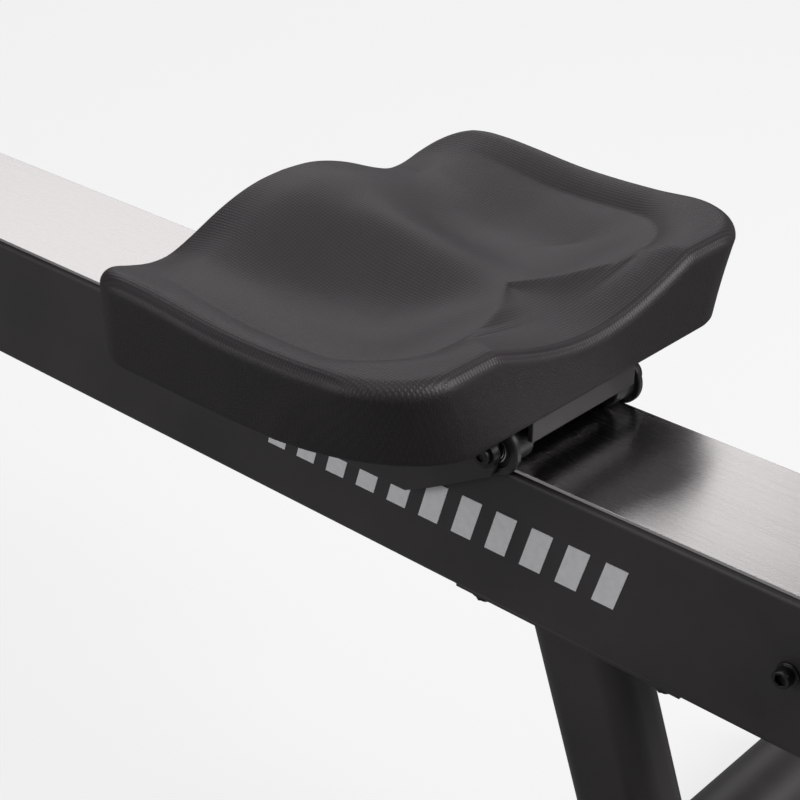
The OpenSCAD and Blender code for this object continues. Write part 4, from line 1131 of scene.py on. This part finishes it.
def coverDetails():
    s = driveSizes
    drum = nodeMiddle("strap_drum")
    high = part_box("drive_cover_right")[1]
    side = high.y
    reach = 0.074
    spots = []
    for sign in (-1, 1):
        for angle in (35, 100, 165, 230, 300):
            turn = math.radians(angle)
            spots.append(((drum.x + reach * math.cos(turn), sign * side, drum.z + reach * math.sin(turn)),
                          (0, sign, 0)))
        spots.append(((high.x - 0.012, sign * side, drum.z + 0.012), (0, sign, 0)))
    screw = socketScrew("coverScrew", s["screwSize"], s["screwHeight"], 2.0)
    bakeTree("coverScrews", "place", "blackSteel", "root", aimedPoints("coverSpots", spots), part=screw)
    forget(screw)
    for name, sign in (("left", -1), ("right", 1)):
        # a round moulded boss with a rim, and vent ribs beside it
        boss = hollowTurned("boss", [(30, -0.3), (52, -0.3), (53, 0.8), (51.5, 1.8), (47, 1.9), (45, 0.9),
                                     (30, 0.9)], 72, "blackPlastic")
        turn = alongY if sign > 0 else againstY
        movePoints(boss, Matrix.Translation((drum.x, sign * side, drum.z)) @ turn)
        boss.name = f"coverBoss_{name}"
        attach(boss, "root")
        y0, y1 = sorted((sign * (side - 0.0003), sign * (side + 0.0016)))
        rib = block("rib", (-0.002, y0, -0.017), (0.002, y1, 0.017), 0.0007)
        bakeTree(f"coverVents_{name}", "row", "blackPlastic", "root", part=rib, count=s["ventCount"],
                 start=(drum.x + 0.062, 0, drum.z + 0.004), step=(s["ventStep"] * mm, 0, 0))
        forget(rib)


def webbingMesh(name, points, width, thick, side, look="webbing"):
    # a flat strap with rounded edges along points, with its own map along and across
    verts, faces, coords = [], [], []
    shape = [(1, 0), (.97, .7), (.9, 1), (.5, 1), (0, 1), (-.5, 1), (-.9, 1), (-.97, .7), (-1, 0), (-.97, -.7),
             (-.9, -1), (-.5, -1), (0, -1), (.5, -1), (.9, -1), (.97, -.7)]
    side = Vector(side).normalized()
    run = 0.0
    runs = []
    for i, point in enumerate(points):
        if i:
            run += (Vector(point) - Vector(points[i - 1])).length
        runs.append(run)
        along = Vector(points[min(i + 1, len(points) - 1)]) - Vector(points[max(i - 1, 0)])
        up = along.cross(side).normalized()
        verts += [Vector(point) + side * a * width / 2 + up * b * thick / 2 for a, b in shape]
    n = len(shape)
    for k in range(len(points) - 1):
        for i in range(n):
            j = (i + 1) % n
            faces.append((k * n + i, (k + 1) * n + i, (k + 1) * n + j, k * n + j))
            coords.append(((runs[k], shape[i][0]), (runs[k + 1], shape[i][0]), (runs[k + 1], shape[j][0]),
                           (runs[k], shape[j][0])))
    ends = [tuple(range(n)), tuple(reversed(range((len(points) - 1) * n, len(points) * n)))]
    strap = meshObject(name, verts, faces + ends)
    layer = strap.data.uv_layers.new(name="strapMap")
    for poly in strap.data.polygons:
        for corner, loop in enumerate(poly.loop_indices):
            if poly.index < len(coords):
                u, v = coords[poly.index][corner]
                layer.data[loop].uv = (u / mm, v * width / 2 / mm)
    work = bmesh.new()
    work.from_mesh(strap.data)
    bmesh.ops.recalc_face_normals(work, faces=work.faces)
    work.to_mesh(strap.data)
    work.free()
    return dress(strap, look)


def pullStrap():
    low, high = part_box("pull_strap")
    mid = (low + high) / 2
    points = [(low.x + (high.x - low.x) * k / 60, 0, mid.z) for k in range(61)]
    strap = webbingMesh("pullStrap", points, high.y - low.y, driveSizes["webThick"] * mm, (0, 1, 0))
    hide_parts("pull_strap")
    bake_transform(strap)


def handleGrips():
    s = driveSizes
    low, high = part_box("handle_grips")
    mid = (low + high) / 2
    length = high.y / mm
    inner = 64
    parts = []
    for sign in (-1, 1):
        profile = [(11, inner), (18, inner), (19, inner + 1), (19, inner + 5), (18, inner + 6),
                   (16, inner + 6.6)]
        step = (length - inner - 18) / s["gripRibs"]
        for k in range(s["gripRibs"]):
            y = inner + 9 + k * step
            swell = 15.1 + 0.8 * math.sin(math.pi * k / (s["gripRibs"] - 1))
            profile += [(swell, y), (swell, y + step * 0.62), (swell - 0.9, y + step * 0.72),
                        (swell - 0.9, y + step * 0.92)]
        profile += [(15.6, length - 7), (15.2, length - 3), (12.5, length - 0.8), (6, length), (6, length - 3),
                    (11, length - 4)]
        grip = hollowTurned("grip", profile, 40, "rubber")
        turn = alongY if sign > 0 else againstY
        parts.append(movePoints(grip, Matrix.Translation((mid.x, 0, mid.z)) @ turn))
    grips = joined("handleGripPair", *parts)
    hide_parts("handle_grips")
    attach(grips, "handle")
    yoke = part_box("handle_yoke")
    spots = [((yoke[0].x + 0.010 + dx, dy, mid.z + 0.007),
              (0, 0, 1)) for dx in (0, 0.012) for dy in (-0.009, 0.009)]
    screw = socketScrew("yokeScrew", 3.2, 2.4, 1.6)
    bakeTree("yokeScrews", "place", "blackSteel", "handle", aimedPoints("yokeSpots", spots), part=screw)
    forget(screw)


def webbingLook():
    # a ribbed weave across the strap's own map, in millimetres
    mat, tree, shader = startMaterial("webbing", 0.72, 0.0, 0.35)
    shader.inputs["Sheen Weight"].default_value = 0.25
    shader.inputs["Sheen Roughness"].default_value = 0.4
    coords = addNode(tree, "ShaderNodeUVMap", uv_map="strapMap")
    parts = addNode(tree, "ShaderNodeSeparateXYZ", {"Vector": coords.outputs["UV"]})
    ribs = addNode(tree, "ShaderNodeMath", {0: parts.outputs["Y"], 1: 2 * math.pi / 1.9}, operation="MULTIPLY")
    ribs = addNode(tree, "ShaderNodeMath", {0: ribs.outputs["Value"]}, operation="SINE")
    slant = addNode(tree, "ShaderNodeMath", {0: parts.outputs["Y"], 1: 0.8}, operation="MULTIPLY")
    slant = addNode(tree, "ShaderNodeMath", {0: parts.outputs["X"], 1: slant.outputs["Value"]}, operation="ADD")
    slant = addNode(tree, "ShaderNodeMath", {0: slant.outputs["Value"], 1: 2 * math.pi / 1.3},
                    operation="MULTIPLY")
    picks = addNode(tree, "ShaderNodeMath", {0: slant.outputs["Value"]}, operation="SINE")
    weave = addNode(tree, "ShaderNodeMath", {0: ribs.outputs["Value"], 1: 0.6, 2: picks.outputs["Value"]},
                    operation="MULTIPLY_ADD")
    fuzz = addNode(tree, "ShaderNodeTexNoise", {"Vector": coords.outputs["UV"], "Scale": 3.0, "Detail": 3.0})
    height = addNode(tree, "ShaderNodeMath", {0: weave.outputs["Value"], 1: fuzz.outputs["Fac"]},
                     operation="ADD")
    bump = addNode(tree, "ShaderNodeBump", {"Height": height.outputs["Value"], "Distance": 0.00012})
    tree.links.new(bump.outputs["Normal"], shader.inputs["Normal"])
    # painted shade: the colour is darker in the weave's low places and lighter on its ribs, with random tone from
    # the fuzz noise
    tone = addNode(tree, "ShaderNodeMapRange", {"Value": height.outputs["Value"], "From Min": -1.5,
                                                "From Max": 2.5, "To Min": 0.55, "To Max": 1.5})
    tree.links.new(scaled(tree, (0.026, 0.026, 0.028), tone.outputs["Result"]), shader.inputs["Base Color"])
    return mat


def beltLook():
    # lengthwise ribs, which run round the belt at fixed distances across it
    mat, tree, shader = startMaterial("beltRubber", 0.62)
    place = objectPlace(tree)
    parts = addNode(tree, "ShaderNodeSeparateXYZ", {"Vector": place})
    angle = addNode(tree, "ShaderNodeMath", {0: parts.outputs["Y"], 1: 2 * math.pi / 0.0023},
                    operation="MULTIPLY")
    ribs = addNode(tree, "ShaderNodeMath", {0: angle.outputs["Value"]}, operation="SINE")
    dust = addNode(tree, "ShaderNodeTexNoise", {"Vector": place, "Scale": 140.0, "Detail": 4.0})
    height = addNode(tree, "ShaderNodeMath", {0: ribs.outputs["Value"], 1: dust.outputs["Fac"]},
                     operation="ADD")
    bump = addNode(tree, "ShaderNodeBump", {"Height": height.outputs["Value"], "Distance": 0.0002})
    tree.links.new(bump.outputs["Normal"], shader.inputs["Normal"])
    tone = addNode(tree, "ShaderNodeMapRange", {"Value": dust.outputs["Fac"], "To Min": 0.7, "To Max": 1.6})
    tree.links.new(scaled(tree, (0.013, 0.013, 0.013), tone.outputs["Result"]), shader.inputs["Base Color"])
    return mat


looks["webbing"] = webbingLook()
looks["beltRubber"] = beltLook()
coverDetails()
pullStrap()
handleGrips()
print("drive and handle done")


footSizes = {"slope": 50, "heelAt": 215, "treadsAt": 224, "treadCount": 6, "treadStep": 9.5, "cupRibs": 8,
             "strapAt": 194, "strapPeak": 78, "archHalf": 48, "webWide": 40, "webThick": 2.4,
             "bolts": (45, 115)}


def slopeFrame(side):
    # x runs up the slope from the heel, y across, z out of the plate
    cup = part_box(f"heel_cup_{side}")
    y = (cup[0].y + cup[1].y) / 2
    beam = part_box("rail_beam")[0].x
    heel = Vector((beam + footSizes["heelAt"] * mm, y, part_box("rail_track")[1].z - 0.020))
    turn = Matrix.Rotation(math.radians(footSizes["slope"] - 180), 4, "Y") @ Matrix.Rotation(math.pi, 4, "X")
    return Matrix.Translation(heel) @ turn


def archPoints(radius, spring, low, count=40):
    out = [(radius, low + (spring - low) * k / 6) for k in range(6)]
    turns = [math.pi * k / count for k in range(count + 1)]
    out += [(radius * math.cos(turn), spring + radius * math.sin(turn)) for turn in turns]
    out += [(-radius, spring - (spring - low) * k / 6) for k in range(1, 7)]
    return out


def footrest(side):
    s = footSizes
    place = slopeFrame(side)
    rib = block("rib", (-0.0016, -0.046, -0.0004), (0.0016, 0.046, 0.0013), 0.0006)
    treads = bakeTree(f"footTreads_{side}", "row", "rubber", "root", part=rib, count=s["treadCount"],
                      start=(s["treadsAt"] * mm, 0, 0), step=(s["treadStep"] * mm, 0, 0))
    reseat(treads, place, "root")
    forget(rib)
    # ribs along the heel cup's back wall
    rib = block("rib", (0.0, -0.0012, 0.006), (0.0012, 0.0012, 0.044), 0.0005)
    ribs = bakeTree(f"cupRibs_{side}", "row", "rubber", f"heel_{side}", part=rib, count=s["cupRibs"],
                    start=(0.0068, -0.035, 0), step=(0, 0.01, 0))
    reseat(ribs, place, f"heel_{side}")
    forget(rib)
    # the strap, its stitches and its buckle
    strapX = s["strapAt"] * mm
    radius = (s["archHalf"] - s["webThick"] / 2) * mm
    spring = (s["strapPeak"] - s["archHalf"]) * mm
    arch = archPoints(radius, spring, -0.019)
    strap = webbingMesh(f"footStrap_{side}", [(strapX, y, z) for y, z in arch], s["webWide"] * mm,
                        s["webThick"] * mm, (1, 0, 0))
    movePoints(strap, place)
    if side == "left":
        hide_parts("foot_straps")
    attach(strap, "root")
    stitchSpots = []
    for edge in (-1, 1):
        for k in range(9, len(arch) - 9):
            y, z = arch[k]
            out = Vector((0, y, z - spring)).normalized() if z > spring else Vector((0, math.copysign(1, y), 0))
            spot = Vector((strapX + edge * (s["webWide"] / 2 - 3) * mm, y, z)) + out * (s["webThick"] / 2 * mm)
            stitchSpots.append((place @ spot, place.to_3x3() @ out))
    stitch = block("stitch", (-0.0004, -0.0011, -0.0002), (0.0004, 0.0011, 0.0004), 0.0002)
    bakeTree(f"strapStitches_{side}", "place", "greyPlastic", "root", aimedPoints("stitchSpots", stitchSpots),
             part=stitch)
    forget(stitch)
    bars = [block("bar", (-0.0265, y - 0.0025, 0), (0.0265, y + 0.0025, 0.0045), 0.001, "blackPlastic")
            for y in (-0.013, 0, 0.013)]
    bars += [block("bar", (x - 0.0028, -0.0155, 0.0002), (x + 0.0028, 0.0155, 0.0043), 0.001, "blackPlastic")
             for x in (-0.0237, 0.0237)]
    buckle = joined(f"strapBuckle_{side}", *bars)
    tilt = math.radians(38)
    out = Vector((0, radius * math.sin(tilt), radius * math.cos(tilt)))
    seatOn = Matrix.Translation(Vector((strapX, 0, spring)) + out * (1 + 0.0012 / radius))
    movePoints(buckle, place @ seatOn @ Matrix.Rotation(-tilt, 4, "X"))
    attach(buckle, "root")


def reseat(piece, place, body):
    # moves a finished piece's points and lets it ride again
    piece.parent = None
    piece.matrix_world = Matrix.Identity(4)
    movePoints(piece, place)
    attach(piece, body)


def bracketBolts():
    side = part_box("footrest_brackets")[1].y
    beamLow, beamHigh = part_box("rail_beam")
    z = (beamLow.z + beamHigh.z) / 2
    spots = [((beamLow.x + at * mm, sign * side, z), (0, sign, 0)) for at in footSizes["bolts"] for sign in (-1, 1)]
    bolt = socketScrew("bracketBolt", 6.5, 2.2, 3.0)
    bakeTree("bracketBolts", "place", "blackSteel", "root", aimedPoints("bracketSpots", spots), part=bolt)
    forget(bolt)


footrest("left")
footrest("right")
bracketBolts()
print("footrests done")


standSizes = {"treadCount": 36, "shoeRibs": 6}


def casterDetails(side, body):
    low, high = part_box(f"caster_{side}")
    mid = (low + high) / 2
    outer = (high.z - low.z) / 2
    lug = block("lug", (outer - 0.003, -0.0065, -0.0011), (outer - 0.0002, 0.0065, 0.0011), 0.0004)
    bakeTree(f"casterTread_{side}", "ring", "rubber", body, part=lug, count=standSizes["treadCount"],
             centre=tuple(mid))
    forget(lug)


def shoeDetails(name):
    low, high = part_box(name)
    mid = (low + high) / 2
    for sign, side in ((-1, "left"), (1, "right")):
        y = sign * high.y
        y0, y1 = sorted((y - sign * 0.0003, y - sign * 0.0012))
        # low ribs on the shoe's outer face
        rib = block("rib", (mid.x - 0.020, y0 - 0.0002, -0.0012), (mid.x + 0.020, y1 + 0.0014, 0.0012), 0.0004)
        bakeTree(f"{name}Ribs_{side}", "row", "rubber", "root", part=rib, count=standSizes["shoeRibs"],
                 start=(0, 0, low.z + 0.012), step=(0, 0, 0.0075))
        forget(rib)


casterDetails("left", "caster_l")
casterDetails("right", "caster_r")
shoeDetails("rear_foot_shoes")
shoeDetails("front_foot_shoes")
print("stands done")


consoleSizes = {"tilt": 22, "high": 140, "thick": 34, "front": 18, "screenHigh": 62.4, "screenLow": 22.2}


def screenLook():
    # a dim display with a fine cell pattern under a glossy cover
    mat, tree, shader = startMaterial("screen", 0.16, 0.0, 0.5)
    shader.inputs["Coat Weight"].default_value = 0.6
    shader.inputs["Coat Roughness"].default_value = 0.05
    place = objectPlace(tree, (1, 1, 1))
    parts = addNode(tree, "ShaderNodeSeparateXYZ", {"Vector": place})
    angle = addNode(tree, "ShaderNodeMath", {0: parts.outputs["Y"], 1: 2 * math.pi / 0.0012},
                    operation="MULTIPLY")
    cells = addNode(tree, "ShaderNodeMath", {0: angle.outputs["Value"]}, operation="SINE")
    tone = addNode(tree, "ShaderNodeMapRange", {"Value": cells.outputs["Value"], "From Min": -1.0,
                                                "To Min": 0.9, "To Max": 1.08})
    tree.links.new(scaled(tree, (0.20, 0.235, 0.20), tone.outputs["Result"]), shader.inputs["Base Color"])
    haze = addNode(tree, "ShaderNodeTexNoise", {"Vector": place, "Scale": 30.0})
    gloss = addNode(tree, "ShaderNodeMapRange", {"Value": haze.outputs["Fac"], "To Min": 0.12, "To Max": 0.22})
    tree.links.new(gloss.outputs["Result"], shader.inputs["Roughness"])
    return mat


def consoleFrame():
    s = consoleSizes
    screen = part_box("console_screen")
    turn = Matrix.Rotation(math.radians(-s["tilt"]), 4, "Y")
    # the pivot is where the turned screen's middle leads back to
    mid = (screen[0] + screen[1]) / 2
    local = Vector(((s["front"] + s["thick"] - 2) * mm, 0,
                    (s["screenLow"] + (s["high"] - s["screenHigh"]) / 2) * mm))
    return Matrix.Translation(mid - turn.to_3x3() @ local) @ turn


def displayMarks():
    # four number places made of plain bars, and a row of level bars below them
    place = consoleFrame()
    face = (consoleSizes["front"] + consoleSizes["thick"] - 0.95) * mm
    parts = []
    digits = {"two": "abged", "eight": "abcdefg", "five": "afgcd", "zero": "abcdef"}
    spans = {"a": (0, 1, 1), "b": (1, .5, 0), "c": (1, -.5, 0), "d": (0, -1, 1), "e": (-1, -.5, 0),
             "f": (-1, .5, 0), "g": (0, 0, 1)}
    wide, tall, stroke = 6.5, 11.5, 1.5
    for slot, kind in enumerate(("zero", "eight", "two", "five")):
        y0 = (-44 + slot * 26 + (7 if slot > 1 else 0)) * mm
        z0 = 74 * mm
        for key in digits[kind]:
            py, pz, flat = spans[key]
            cy, cz = y0 + py * wide * mm, z0 + pz * tall * mm
            hy, hz = ((wide - 1.2) * mm, stroke * mm) if flat else (stroke * mm, (tall / 2 - 1.2) * mm)
            parts.append(block("bar", (face, cy - hy, cz - hz), (face + 0.0003, cy + hy, cz + hz), 0,
                               "blackPlastic"))
    for k in range(16):
        high = 3 + 9 * abs(math.sin(k * 0.55))
        y0 = (-60 + k * 8) * mm
        parts.append(block("bar", (face, y0 - 0.0024, 30 * mm), (face + 0.0003, y0 + 0.0024, (30 + high) * mm),
                           0, "blackPlastic"))
    marks = joined("displayMarks", *parts)
    movePoints(marks, place)
    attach(marks, "console")
    bezel = joined("displayBezel", *[block("bar", low, high, 0.0009, "greyPlastic") for low, high in (
        ((0.0500, -0.0862, 0.0186), (0.0532, 0.0862, 0.0218)),
        ((0.0500, -0.0862, 0.1002), (0.0532, 0.0862, 0.1034)),
        ((0.0500, -0.0862, 0.0186), (0.0532, -0.0830, 0.1034)),
        ((0.0500, 0.0830, 0.0186), (0.0532, 0.0862, 0.1034)))])
    movePoints(bezel, place)
    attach(bezel, "console")
    # screws on the back
    back = place.to_3x3() @ Vector((-1, 0, 0))
    spots = [(place @ Vector((0.018, y, z)), back) for y in (-0.092, 0.092) for z in (-0.012, 0.104)]
    screw = socketScrew("backScrew", 3.4, 1.8, 1.6)
    bakeTree("consoleScrews", "place", "blackSteel", "console", aimedPoints("backSpots", spots), part=screw)
    forget(screw)
    vent = block("vent", (0.0166, -0.028, -0.0012), (0.0182, 0.028, 0.0012), 0.0005)
    vents = bakeTree("consoleVents", "row", "blackPlastic", "console", part=vent, count=7, start=(0, 0, 0.062),
                     step=(0, 0, 0.0062))
    reseat(vents, place, "console")
    forget(vent)


looks["screen"] = screenLook()
displayMarks()
print("console done")


paintNodes("blackPowder", "rail_beam", "rear_leg", "rear_foot_bar", "front_spine", "front_foot_bar", "mast",
           "fan_forks", "caster_forks", "drive_plates", "footrest_brackets", "footrest_tube", "console_arm",
           "seat_stops", "seat_plate", "handle_rests")
paintNodes("brushedSteel", "rail_track")
paintNodes("silverPrint", "rail_decal")
paintNodes("blackSteel", "seat_axles", "handle_bar")
paintNodes("bearingSteel", "fan_bearings", "fan_shaft", "drum_bearings", "idler_roller")
paintNodes("rubber", "rear_foot_shoes", "front_foot_shoes", "stop_bumpers", "caster_left", "caster_right",
           "heel_cup_left", "heel_cup_right")
paintNodes("blackPlastic", "drive_cover_left", "drive_cover_right", "foot_plates", "console_housing",
           "handle_yoke", "drive_pulley", "fan_pulley", "strap_drum", "seat_glides", "damper")
paintNodes("beltRubber", "drive_belt")
paintNodes("greyPlastic", "button_left", "button_middle", "button_right")
paintNodes("screen", "console_screen")

print("all pieces done")
